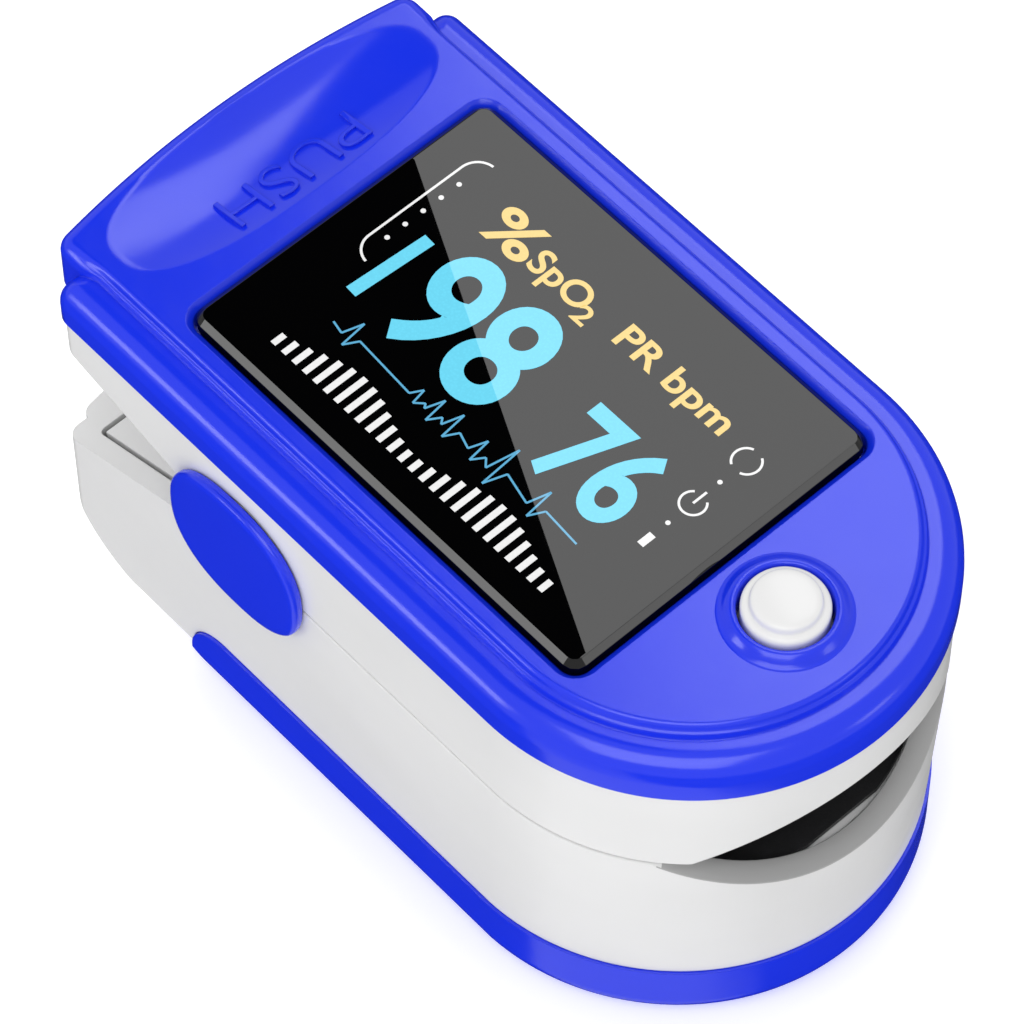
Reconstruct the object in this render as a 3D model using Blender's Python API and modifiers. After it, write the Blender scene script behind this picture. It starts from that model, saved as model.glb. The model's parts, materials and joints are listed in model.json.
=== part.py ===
"""Fingertip pulse oximeter: a spring-hinged clip with a display, finger pads, optics and batteries.

Frame: X across the clip, -Y at the finger mouth, +Y at the thumb tabs, +Z up.
The origin is the middle of the resting face, under the centre of the clip.
"""
import math

import bmesh
import bpy
from mathutils import Matrix, Vector

MM = 0.001
GAP = 0.3 * MM

# Case plan: straight sides with one round end of the full width.
HALF_WIDTH = 16.0 * MM
FRONT_CENTRE = -12.95 * MM
SHOULDER_Y = 26.6 * MM
UPPER_SHOULDER_Y = 25.8 * MM
TAB_Y = 28.95 * MM
TAB_HALF = 14.2 * MM
TAB_BULGE = 1.2 * MM
CORNER = 1.2 * MM
SHELL_INSET = 0.2 * MM
WALL = 1.4 * MM
FRONT_STEPS = 28

# Heights of the stacked layers.
COVER_BAND_TOP = 5.4 * MM
LOWER_FLOOR = 2.2 * MM
SEAM = 19.2 * MM
BLUE_BAND_LOW = 27.1 * MM
RIM_TOP = 30.25 * MM
PLATEAU_TOP = 31.2 * MM
CEILING = 29.3 * MM
RIM_ROUNDING = 1.6 * MM
PLATEAU_ROUNDING = 0.9 * MM
WINDOW_TOP = 31.6 * MM
WINDOW_SEAT = 30.0 * MM

# Hinge.
HINGE = Vector((0, 8.5 * MM, 20.5 * MM))
LOBE_RADIUS = 5.2 * MM
PIN_RADIUS = 1.0 * MM
PIN_LENGTH = 27.8 * MM
EAR_X = 11.9 * MM
KNUCKLE_X = 9.4 * MM
LUG_WIDTH = 1.8 * MM
UPPER_SLOPE = 0.257
LOWER_SLOPE = -0.353

# Finger channel and mouth.
CHANNEL_HALF = 9.0 * MM
CHANNEL_RISE = 4.0 * MM
CHANNEL_END = 1.0 * MM
PAD_REAR = 3.0 * MM
ARCH_RADIUS = 15.9 * MM
LIP_RADIUS = 18.7 * MM
MOUTH_TOP = 23.45 * MM
MOUTH_BOTTOM = 14.5 * MM
MOUTH_AXIS_Y = -28.0 * MM
FLARE_HALF = Vector((13.4 * MM, 5.6 * MM))
FLARE_DEPTH = 12 * MM
FLARE_Y = -24.6 * MM
OPTICS_Y = -13.0 * MM

# Battery tray and the rounded heel of the lower shell.
TRAY_ROUNDING = 2.0 * MM
TRAY_WALL = 1.2 * MM
NOSE_CENTRE = (11.66 * MM, LOWER_FLOOR)
HEEL_CENTRE = (19.4 * MM, 9.4 * MM)
HEEL_RADIUS = 7.2 * MM
FAR = 40 * MM

# Thumb dish: half sizes of the ellipsoid that hollows it, its centre and its height over the plateau.
DISH_HALF = Vector((14.6 * MM, 4.9 * MM, 2.6 * MM))
DISH_Y = 23.9 * MM
DISH_LIFT = 1.35 * MM

# Display and button.
WINDOW_Y = 1.0 * MM
WINDOW_HALF = Vector((11.82 * MM, 16.8 * MM))
WINDOW_CORNER = 1.0 * MM
BUTTON = Vector((0, -20.85 * MM, 0))
BUTTON_HOLE = 2.95 * MM
BUTTON_TOP = 32.8 * MM
COLLAR_RADII = (4.0 * MM, 3.1 * MM)
BOARD_LOW = 26.3 * MM
BOARD_TOP = 27.3 * MM

# Screws through the inner frames.
COVER_SCREWS = [(side * 12.4 * MM, y * MM) for y in (-14.0, 17.0) for side in (-1, 1)]
LOWER_SCREW_X = 12.5 * MM
LOWER_SCREW_Y = -6.0 * MM

# Two AAA cells side by side.
CELL_RADIUS = 5.25 * MM
CELL_X = 5.35 * MM
CELL_Z = 8.55 * MM
CELL_FRONT = -22.2 * MM
CELL_LENGTH = 43.7 * MM
NUB_LENGTH = 0.8 * MM

# Torsion spring.
COIL_RADIUS = 2.4 * MM
COIL_HALF = 5.9 * MM
COIL_TURNS = 8
SPRING_WIRE = 0.45 * MM
LOWER_ARM_TIP = Vector((19.0 * MM, 16.7 * MM))
UPPER_ARM_TIP = Vector((18.0 * MM, 24.2 * MM))

# Plane in which a flat outline is drawn: its u, v and depth directions.
PLAN = Matrix.Identity(4)
SIDE = Matrix(((0, 0, 1, 0), (1, 0, 0, 0), (0, 1, 0, 0), (0, 0, 0, 1)))

FINISHES = {
    "blue_gloss": ((0.02, 0.06, 0.9), 0.0, 0.12),
    "white_gloss": ((0.82, 0.82, 0.83), 0.0, 0.25),
    "window_black": ((0.01, 0.01, 0.012), 0.0, 0.05),
    "silicone_black": ((0.015, 0.015, 0.016), 0.0, 0.6),
    "board_green": ((0.02, 0.16, 0.07), 0.0, 0.45),
    "chip_black": ((0.02, 0.02, 0.022), 0.0, 0.5),
    "glass_dark": ((0.02, 0.03, 0.05), 0.0, 0.08),
    "lens_clear": ((0.75, 0.7, 0.68), 0.0, 0.1),
    "steel": ((0.6, 0.6, 0.62), 1.0, 0.25),
    "nickel": ((0.68, 0.66, 0.62), 1.0, 0.3),
    "cell_wrap": ((0.05, 0.05, 0.06), 0.0, 0.35),
}


def clear_scene():
    """Remove every object, so the script starts from an empty scene."""
    for existing in list(bpy.data.objects):
        bpy.data.objects.remove(existing, do_unlink=True)


def new_collection(name):
    """Add a collection to the scene."""
    collection = bpy.data.collections.new(name)
    bpy.context.scene.collection.children.link(collection)
    return collection


def make_finish(name):
    """Return a Principled material from the FINISHES table."""
    colour, metallic, roughness = FINISHES[name]
    finish = bpy.data.materials.new(name)
    finish.use_nodes = True
    shader = finish.node_tree.nodes["Principled BSDF"]
    shader.inputs["Base Color"].default_value = (*colour, 1.0)
    shader.inputs["Metallic"].default_value = metallic
    shader.inputs["Roughness"].default_value = roughness
    return finish


class Builder:
    """Keeps the part and cutter collections, and makes objects in them."""

    def __init__(self):
        self.parts = new_collection("pulse_oximeter")
        self.cutters = new_collection("cutters")
        self.finishes = {}

    def add(self, name, mesh, location=(0, 0, 0), cutter=False):
        """Link a mesh as a part or as a hidden cutter."""
        made = bpy.data.objects.new(name, mesh)
        made.location = location
        if cutter:
            made.hide_render = True
            made.display_type = "WIRE"
            self.cutters.objects.link(made)
        else:
            self.parts.objects.link(made)
        return made

    def paint(self, piece, finish):
        """Give a piece its material and smooth shading over round faces."""
        if finish not in self.finishes:
            self.finishes[finish] = make_finish(finish)
        piece.data.materials.append(self.finishes[finish])
        piece.data.shade_smooth()
        piece.data.set_sharp_from_angle(angle=math.radians(35))
        return piece

    def prism(self, name, outline, low, high, plane=PLAN, bevel=0.0, cutter=False):
        """Extrude a closed outline from low to high along the plane's depth, edges rounded by bevel."""
        curve = bpy.data.curves.new(name, "CURVE")
        curve.dimensions = "2D"
        curve.fill_mode = "BOTH"
        curve.extrude = (high - low) / 2 - bevel
        curve.bevel_depth = bevel
        curve.bevel_resolution = 1
        curve.offset = -bevel
        spline = curve.splines.new("POLY")
        spline.points.add(len(outline) - 1)
        for point, (u, v) in zip(spline.points, outline):
            point.co = (u, v, 0, 1)
        spline.use_cyclic_u = True
        mesh = self.mesh_from_curve(curve)
        mesh.transform(plane @ Matrix.Translation((0, 0, (low + high) / 2)))
        return self.add(name, mesh, cutter=cutter)

    def mesh_from_curve(self, curve):
        """Turn a curve into a welded mesh and drop the curve."""
        holder = bpy.data.objects.new("curve_holder", curve)
        bpy.context.scene.collection.objects.link(holder)
        graph = bpy.context.evaluated_depsgraph_get()
        mesh = bpy.data.meshes.new_from_object(holder.evaluated_get(graph))
        bpy.data.objects.remove(holder, do_unlink=True)
        bpy.data.curves.remove(curve)
        welded = bmesh.new()
        welded.from_mesh(mesh)
        bmesh.ops.remove_doubles(welded, verts=welded.verts, dist=0.002 * MM)
        bmesh.ops.recalc_face_normals(welded, faces=welded.faces)
        welded.to_mesh(mesh)
        welded.free()
        return mesh

    def box(self, name, size, centre, cutter=False):
        """A box of the given size, placed by its centre."""
        mesh = bpy.data.meshes.new(name)
        block = bmesh.new()
        bmesh.ops.create_cube(block, size=1.0, matrix=Matrix.Diagonal((*size, 1.0)))
        block.to_mesh(mesh)
        block.free()
        return self.add(name, mesh, centre, cutter)

    def rod(self, name, radius, length, centre, axis="Z", steps=24, tip_radius=None, cutter=False):
        """A cylinder or cone frustum along one axis, placed by its centre."""
        mesh = bpy.data.meshes.new(name)
        turned = bmesh.new()
        top_radius = radius if tip_radius is None else tip_radius
        bmesh.ops.create_cone(turned, cap_ends=True, segments=steps, radius1=radius,
                              radius2=top_radius, depth=length)
        turned.to_mesh(mesh)
        turned.free()
        turns = {"Z": Matrix.Identity(4), "X": Matrix.Rotation(math.pi / 2, 4, "Y"),
                 "Y": Matrix.Rotation(-math.pi / 2, 4, "X")}
        mesh.transform(turns[axis])
        return self.add(name, mesh, centre, cutter)

    def lathe(self, name, profile, location, steps=24, turn=None):
        """Turn a (radius, height) profile about its own Z axis with a Screw modifier."""
        mesh = bpy.data.meshes.new(name)
        count = len(profile)
        mesh.from_pydata([(radius, 0, height) for radius, height in profile],
                         [(index, index + 1) for index in range(count - 1)], [])
        piece = self.add(name, mesh, location)
        if turn is not None:
            piece.rotation_euler = turn
        screw = piece.modifiers.new("turn", "SCREW")
        screw.steps = steps
        screw.render_steps = steps
        screw.use_merge_vertices = True
        screw.merge_threshold = 0.00001
        screw.use_smooth_shade = True
        return piece

    def wire(self, name, points, radius):
        """A round wire with closed ends along a list of points."""
        curve = bpy.data.curves.new(name, "CURVE")
        curve.dimensions = "3D"
        curve.bevel_depth = radius
        curve.bevel_resolution = 2
        curve.use_fill_caps = True
        spline = curve.splines.new("POLY")
        spline.points.add(len(points) - 1)
        for point, position in zip(spline.points, points):
            point.co = (*position, 1)
        return self.add(name, self.mesh_from_curve(curve))


def combine(target, tool, operation):
    """Add one exact Boolean modifier."""
    step = target.modifiers.new(tool.name, "BOOLEAN")
    step.solver = "EXACT"
    step.operation = operation
    step.object = tool


def cut(target, *tools):
    """Subtract each tool from the target."""
    for tool in tools:
        combine(target, tool, "DIFFERENCE")


def join(target, *tools):
    """Unite each tool with the target."""
    for tool in tools:
        combine(target, tool, "UNION")


def arc(centre, radius, start, end, steps):
    """Points on a circle arc between two angles in degrees, both ends included."""
    angles = [math.radians(start + (end - start) * step / steps) for step in range(steps + 1)]
    return [(centre[0] + radius * math.cos(a), centre[1] + radius * math.sin(a)) for a in angles]


def case_outline(inset, rear=SHOULDER_Y, corner=CORNER):
    """Plan of the case: a half round front, straight sides and rounded rear corners."""
    half = HALF_WIDTH - inset
    front = arc((0, FRONT_CENTRE), half, 180, 360, FRONT_STEPS)
    right = arc((half - corner, rear - corner), corner, 0, 90, 4)
    left = arc((corner - half, rear - corner), corner, 90, 180, 4)
    return front + right + left


def tab_outline(half, rear, corner=CORNER):
    """Plan of the thumb tab: the narrower case plan with a rear edge that bulges."""
    front = arc((0, FRONT_CENTRE), half, 180, 360, FRONT_STEPS)
    side_end = rear - TAB_BULGE
    right = arc((half - corner, side_end - corner), corner, 0, 75, 4)
    left = arc((corner - half, side_end - corner), corner, 105, 180, 4)
    reach = half - 1.8 * corner
    bulge = [(reach * (1 - step / 5), rear - TAB_BULGE * (1 - step / 5) ** 2) for step in range(11)]
    return front + right + bulge + left


def rounded_rectangle(centre, half, radius, steps=4):
    """Rectangle outline with rounded corners."""
    points = []
    for sign_x, sign_y, start in ((1, -1, 270), (1, 1, 0), (-1, 1, 90), (-1, -1, 180)):
        middle = (centre[0] + sign_x * (half[0] - radius), centre[1] + sign_y * (half[1] - radius))
        points += arc(middle, radius, start, start + 90, steps)
    return points


def rear_line(y, slope, start_z):
    """Height at y of a sloping rear edge that passes through start_z, 15 mm behind the centre."""
    return start_z + slope * (y - 15.0 * MM)


def upper_rear_edge(y):
    """Height of the upper shell's underside behind the hinge."""
    return rear_line(y, UPPER_SLOPE, 21.3 * MM)


def lower_rear_edge(y):
    """Height of the lower shell's top behind the hinge."""
    return rear_line(y, LOWER_SLOPE, 17.2 * MM)


def top_cover(build):
    """Blue cover: outer band, rim, raised plateau with the thumb tab, button collar and bosses."""
    skirt = BLUE_BAND_LOW - 2.0 * MM
    shell_wall = 1.5 * MM
    cover = build.prism("top_cover", case_outline(0, UPPER_SHOULDER_Y, 1.8 * MM), skirt, RIM_TOP,
                        bevel=RIM_ROUNDING)
    plateau = build.prism("plateau_form", tab_outline(TAB_HALF, TAB_Y), skirt - GAP, PLATEAU_TOP,
                          bevel=PLATEAU_ROUNDING, cutter=True)
    collar = build.rod("collar_form", COLLAR_RADII[0], 1.2 * MM, BUTTON + Vector((0, 0, 31.3 * MM)),
                       tip_radius=COLLAR_RADII[1], steps=28, cutter=True)
    join(cover, plateau, collar)
    skirt_trim = build.box("skirt_trim", (50 * MM, 80 * MM, 10 * MM),
                           (0, 0, BLUE_BAND_LOW - 5 * MM), cutter=True)
    cavity = build.prism("cover_cavity", case_outline(shell_wall, UPPER_SHOULDER_Y - shell_wall), 20 * MM,
                         CEILING, cutter=True)
    tab_cavity = build.box("tab_cavity", (25 * MM, 12 * MM, 10 * MM),
                           (0, 21.4 * MM, CEILING - 5.4 * MM), cutter=True)
    recess = build.prism("window_recess",
                         rounded_rectangle((0, WINDOW_Y), WINDOW_HALF + Vector((GAP, GAP)),
                                           WINDOW_CORNER + GAP),
                         WINDOW_SEAT, WINDOW_TOP + 3 * MM, cutter=True)
    opening = build.prism("display_opening", rounded_rectangle((0, WINDOW_Y), (9.6 * MM, 14 * MM), 1 * MM),
                          20 * MM, 33 * MM, cutter=True)
    dish = thumb_dish(build)
    hole = build.rod("button_hole", BUTTON_HOLE, 12 * MM, BUTTON + Vector((0, 0, 30 * MM)), steps=28,
                     cutter=True)
    cut(cover, skirt_trim, cavity, tab_cavity, recess, opening, dish, hole)
    for number, spot in enumerate(COVER_SCREWS, 1):
        boss = build.rod(f"cover_boss_{number}", 1.25 * MM, 3.5 * MM,
                         (*spot, CEILING - 1.3 * MM), cutter=True, steps=16)
        bore = build.rod(f"cover_bore_{number}", 0.85 * MM, 3.4 * MM,
                         (*spot, CEILING - 2.0 * MM), cutter=True, steps=12)
        join(cover, boss)
        cut(cover, bore)
    return build.paint(cover, "blue_gloss")


def thumb_dish(build):
    """Cutter for the shallow hollow that the thumb presses."""
    ball = bmesh.new()
    bmesh.ops.create_uvsphere(ball, u_segments=32, v_segments=16, radius=1.0)
    mesh = bpy.data.meshes.new("thumb_dish")
    ball.to_mesh(mesh)
    ball.free()
    mesh.transform(Matrix.Diagonal((*DISH_HALF, 1.0)))
    return build.add("thumb_dish", mesh, (0, DISH_Y, PLATEAU_TOP + DISH_LIFT), cutter=True)


def display_window(build):
    """Glossy black slab over the display."""
    slab = build.prism("display_window", rounded_rectangle((0, WINDOW_Y), WINDOW_HALF, WINDOW_CORNER),
                       WINDOW_SEAT + GAP, WINDOW_TOP, bevel=0.35 * MM)
    return build.paint(slab, "window_black")


def power_button(build):
    """White stepped button with a flange under the cover and a pocket for the switch."""
    profile = [(0.0, 32.8), (1.2, 32.78), (1.85, 32.66), (2.15, 32.4), (2.2, 32.1), (2.5, 32.04),
               (2.65, 31.9), (2.65, 29.0), (3.5, 29.0), (3.5, 28.4), (2.05, 28.4), (2.05, 29.9), (0.0, 29.9)]
    local = [(radius * MM, height * MM - BUTTON_TOP) for radius, height in profile]
    button = build.lathe("power_button", local, BUTTON + Vector((0, 0, BUTTON_TOP)), steps=28)
    return build.paint(button, "white_gloss")


def upper_shell(build):
    """White wall of the upper half: arched over the mouth, sloping up behind the hinge."""
    low, high = SEAM + GAP / 2, BLUE_BAND_LOW - GAP
    rear = UPPER_SHOULDER_Y - SHELL_INSET
    shell = build.prism("upper_shell", case_outline(SHELL_INSET, rear), low, high)
    tab = build.prism("upper_tab_form", tab_outline(TAB_HALF - SHELL_INSET, TAB_Y - 0.4 * MM),
                      21 * MM, high - 0.02 * MM, cutter=True)
    join(shell, tab)
    wedge_back = 32 * MM
    wedge = build.prism("upper_wedge", [(HINGE.y, 10 * MM), (wedge_back, 10 * MM),
                                        (wedge_back, upper_rear_edge(wedge_back)),
                                        (HINGE.y, upper_rear_edge(HINGE.y))],
                        -20 * MM, 20 * MM, plane=SIDE, cutter=True)
    arch = build.rod("mouth_arch", ARCH_RADIUS, 24 * MM,
                     (0, MOUTH_AXIS_Y, MOUTH_TOP - ARCH_RADIUS), axis="Y", steps=72, cutter=True)
    lobe_room = build.rod("lobe_room", LOBE_RADIUS + GAP, 40 * MM, HINGE, axis="X", steps=32, cutter=True)
    front_cavity = build.prism("upper_cavity_front", case_outline(SHELL_INSET + WALL, 14 * MM, 0.5 * MM),
                               10 * MM, 30 * MM, cutter=True)
    cavity_front, cavity_back, roof = 12 * MM, 24.4 * MM, 1.3 * MM
    rear_cavity = build.prism("upper_cavity_rear",
                              [(cavity_front, upper_rear_edge(cavity_front) + roof),
                               (cavity_back, upper_rear_edge(cavity_back) + roof),
                               (cavity_back, 30 * MM), (cavity_front, 30 * MM)],
                              -14.4 * MM, 14.4 * MM, plane=SIDE, cutter=True)
    cut(shell, wedge, arch, lobe_room, front_cavity, rear_cavity)
    return build.paint(shell, "white_gloss")


def upper_liner(build):
    """White inner frame over the finger pad, with the hinge knuckles."""
    low, high = 24.9 * MM, 26.0 * MM
    liner = build.prism("upper_liner", case_outline(2.0 * MM, 22 * MM), low, high)
    for side, name in ((-1, "left"), (1, "right")):
        middle = side * KNUCKLE_X
        outline = arc((HINGE.y, HINGE.z), 2.8 * MM, 180, 360, 12)
        outline += [(HINGE.y + 2.8 * MM, low + 0.4 * MM), (HINGE.y - 2.8 * MM, low + 0.4 * MM)]
        knuckle = build.prism(f"knuckle_{name}", outline, middle - LUG_WIDTH / 2, middle + LUG_WIDTH / 2,
                              plane=SIDE, cutter=True)
        join(liner, knuckle)
    bore = build.rod("knuckle_bore", PIN_RADIUS + GAP, 24 * MM, HINGE, axis="X", cutter=True)
    optics = build.box("emitter_room", (4.2 * MM, 3.8 * MM, 6 * MM), (0, OPTICS_Y, low), cutter=True)
    cut(liner, bore, optics)
    for number, spot in enumerate(COVER_SCREWS, 1):
        cut(liner, build.rod(f"liner_hole_{number}", 0.9 * MM, 4 * MM, (*spot, low), steps=12, cutter=True))
    return build.paint(liner, "white_gloss")


def finger_channel(build):
    """Cutter for the finger's room: an oval tube with a flared mouth."""
    steps = 32
    tube = build.rod("finger_channel", 1.0, 1.0, (0, 0, 0), axis="Y", steps=steps, cutter=True)
    length = CHANNEL_END + 32 * MM
    tube.data.transform(Matrix.Diagonal((CHANNEL_HALF, length, CHANNEL_RISE, 1.0)))
    tube.location = (0, CHANNEL_END - length / 2, SEAM)
    flare = build.rod("mouth_flare", 1.0, 1.0, (0, 0, 0), axis="Y", steps=steps, tip_radius=0.55,
                      cutter=True)
    flare.data.transform(Matrix.Diagonal((FLARE_HALF.x, FLARE_DEPTH, FLARE_HALF.y, 1.0)))
    flare.location = (0, FLARE_Y, SEAM)
    return tube, flare


def finger_pads(build):
    """Two black silicone pads that hold the finger, each with a window hole for the optics."""
    channel = finger_channel(build)
    pads = []
    limits = {"upper_pad": (SEAM + GAP, 24.6 * MM), "lower_pad": (14.7 * MM, SEAM - GAP)}
    for name, (low, high) in limits.items():
        pad = build.prism(name, case_outline(2.0 * MM, PAD_REAR), low, high)
        cut(pad, *channel)
        pads.append(build.paint(pad, "silicone_black"))
    upper, lower = pads
    cut(upper, build.rod("emitter_hole", 2.3 * MM, 4 * MM, (0, OPTICS_Y, 24 * MM), cutter=True))
    cut(lower, build.rod("detector_hole", 2.3 * MM, 4 * MM, (0, OPTICS_Y, 15 * MM), cutter=True))
    for number, spot in enumerate(COVER_SCREWS[:2], 1):
        cut(upper, build.rod(f"pad_pocket_{number}", 1.9 * MM, 3 * MM, (*spot, 25 * MM), cutter=True,
                             steps=16))
    return pads


def main_board(build):
    """Circuit board with its two chips, the display module and the switch."""
    rear = 23.0 * MM
    board = build.prism("main_board", case_outline(5.0 * MM, rear), BOARD_LOW, BOARD_TOP)
    build.paint(board, "board_green")
    mounted = BOARD_TOP + GAP
    chips = {"microcontroller": (7.0, 4.6, 0.9, -3.6, 19.6), "analog_chip": (5.0, 4.6, 0.9, 4.6, 19.6)}
    for name, (width, depth, height, x, y) in chips.items():
        chip = build.box(name, (width * MM, depth * MM, height * MM),
                         (x * MM, y * MM, mounted + height * MM / 2))
        build.paint(chip, "chip_black")
    display = build.box("oled_display", (20.4 * MM, 30.0 * MM, 1.3 * MM),
                        (0, WINDOW_Y, mounted + 0.65 * MM))
    build.paint(display, "glass_dark")
    return board


def button_switch(build):
    """Tact switch under the button: a square body and its plunger."""
    body = build.box("switch_body", (2.6 * MM, 2.6 * MM, 1.3 * MM),
                     BUTTON + Vector((0, 0, BOARD_TOP + GAP + 0.65 * MM)))
    bore = build.rod("switch_bore", 1.1 * MM, 2.0 * MM, BUTTON + Vector((0, 0, 28.75 * MM)), cutter=True)
    cut(body, bore)
    build.paint(body, "chip_black")
    plunger = build.rod("switch_plunger", 0.8 * MM, 1.25 * MM, BUTTON + Vector((0, 0, 28.975 * MM)), steps=16)
    return build.paint(plunger, "white_gloss")


def optics(build):
    """Red and infrared emitter above the finger, photodiode below it, a clear lens on each."""
    emitter = build.box("led_emitter", (3.0 * MM, 2.6 * MM, 1.1 * MM), (0, OPTICS_Y, 25.45 * MM))
    build.paint(emitter, "lens_clear")
    upper_lens = build.rod("emitter_lens", 2.0 * MM, 0.9 * MM, (0, OPTICS_Y, 24.15 * MM))
    build.paint(upper_lens, "lens_clear")
    board = build.box("sensor_board", (4.2 * MM, 8.0 * MM, 0.6 * MM), (0, OPTICS_Y, 13.2 * MM))
    build.paint(board, "board_green")
    diode = build.box("photodiode", (2.8 * MM, 2.8 * MM, 0.7 * MM), (0, OPTICS_Y, 14.1 * MM))
    build.paint(diode, "chip_black")
    lower_lens = build.rod("detector_lens", 2.0 * MM, 0.5 * MM, (0, OPTICS_Y, 14.95 * MM))
    return build.paint(lower_lens, "lens_clear")


def lower_shell(build):
    """White wall of the lower half: mouth lip, hinge lobes, rear tab and rounded heel."""
    rear = SHOULDER_Y - SHELL_INSET
    shell = build.prism("lower_shell", case_outline(SHELL_INSET, rear), LOWER_FLOOR, 21 * MM)
    tab = build.prism("lower_tab_form", tab_outline(TAB_HALF - SHELL_INSET, TAB_Y - 0.5 * MM),
                      10.2 * MM, 20 * MM, cutter=True)
    join(shell, tab)
    top = SEAM - GAP / 2
    crest = 15.0 * MM + (top - 17.2 * MM) / LOWER_SLOPE
    far = 32 * MM
    above = build.prism("lower_trim", [(-FAR, top), (crest, top), (far, lower_rear_edge(far)),
                                       (far, FAR), (-FAR, FAR)],
                        -20 * MM, 20 * MM, plane=SIDE, cutter=True)
    lip = build.rod("mouth_lip", LIP_RADIUS, 24 * MM, (0, MOUTH_AXIS_Y, MOUTH_BOTTOM + LIP_RADIUS),
                    axis="Y", steps=72, cutter=True)
    heel = build.prism("heel_trim", heel_outline(HEEL_RADIUS), -20 * MM, 20 * MM, plane=SIDE,
                       cutter=True)
    bay = build.prism("battery_bay", case_outline(SHELL_INSET + WALL, 24.8 * MM), LOWER_FLOOR + 0.9 * MM,
                      FAR, cutter=True)
    cut(bay, build.prism("bay_heel", heel_outline(HEEL_RADIUS - 0.6 * MM), -20 * MM, 20 * MM, plane=SIDE,
                         cutter=True))
    cover_room = build.prism("cover_room", cover_nose(COVER_BAND_TOP + GAP, GAP), -20 * MM,
                             20 * MM, plane=SIDE, cutter=True)
    cut(shell, above, lip, heel, bay, cover_room)
    for side, name in ((-1, "left"), (1, "right")):
        middle = side * (HALF_WIDTH - SHELL_INSET - WALL / 2)
        lobe = build.rod(f"lobe_{name}", LOBE_RADIUS, WALL - 0.1 * MM, (middle, HINGE.y, HINGE.z), axis="X",
                         steps=32, cutter=True)
        rib = build.box(f"cover_rib_{name}", (0.9 * MM, 22 * MM, 5.0 * MM), (side * 14.1 * MM, 0, 5.7 * MM),
                        cutter=True)
        boss = build.box(f"screw_boss_{name}", (3.2 * MM, 4 * MM, 2.2 * MM),
                         (side * 12.9 * MM, LOWER_SCREW_Y, 12.6 * MM), cutter=True)
        join(shell, lobe, rib, boss)
        bore = build.rod(f"boss_bore_{name}", 0.95 * MM, 4 * MM,
                         (side * LOWER_SCREW_X, LOWER_SCREW_Y, 12.6 * MM), cutter=True, steps=12)
        cut(shell, bore)
    cap_bore = build.rod("cap_bore", 2.3 * MM, FAR, HINGE, axis="X", cutter=True)
    cut(shell, cap_bore)
    return build.paint(shell, "white_gloss")


def heel_outline(radius):
    """Region outside the rounded lower rear corner, seen from the side."""
    back = HEEL_CENTRE[0] + HEEL_RADIUS + 2 * MM
    return arc(HEEL_CENTRE, radius, -90, 0, 10) + [(back, HEEL_CENTRE[1]), (back, 0), (HEEL_CENTRE[0], 0)]


def nose_arc(clearance=0.0):
    """Quarter-round rear end of the battery tray's side band, from its top down, and a point below it."""
    radius = COVER_BAND_TOP - LOWER_FLOOR + clearance
    return arc(NOSE_CENTRE, radius, 90, 0, 8) + [(NOSE_CENTRE[0] + radius, -5 * MM)]


def cover_nose(top, clearance):
    """Side view of the room that the lower shell leaves for the battery tray."""
    return [(-FAR, top)] + nose_arc(clearance) + [(-FAR, -5 * MM)]


def battery_cover(build):
    """Blue tray that closes the battery bay and slides off towards the mouth."""
    height = 9 * MM
    tray = build.prism("battery_cover", case_outline(0, 20 * MM, 2.4 * MM), 0, height, bevel=TRAY_ROUNDING)
    above_band = [(-FAR, 12 * MM), (-FAR, COVER_BAND_TOP), *nose_arc(), (FAR, -5 * MM), (FAR, 12 * MM)]
    outside = build.prism("cover_band", above_band, -20 * MM, 20 * MM, plane=SIDE, cutter=True)
    cavity = build.prism("cover_cavity_low", case_outline(TRAY_WALL, 22 * MM), TRAY_WALL, 12 * MM,
                         cutter=True)
    ramp = build.prism("cover_ramp", [(10 * MM, 0), (10 * MM, TRAY_WALL), (12.6 * MM, 2.9 * MM),
                                      (24 * MM, 2.9 * MM), (24 * MM, 0)],
                       -20 * MM, 20 * MM, plane=SIDE, cutter=True)
    cut(cavity, ramp)
    tail = build.prism("cover_tail", [(11.2 * MM, -1 * MM), (11.2 * MM, 0.0), (15.6 * MM, 2.3 * MM),
                                      (24 * MM, 2.3 * MM), (24 * MM, -1 * MM)],
                       -20 * MM, 20 * MM, plane=SIDE, cutter=True)
    cut(tray, outside, tail, cavity)
    return build.paint(tray, "blue_gloss")


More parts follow.
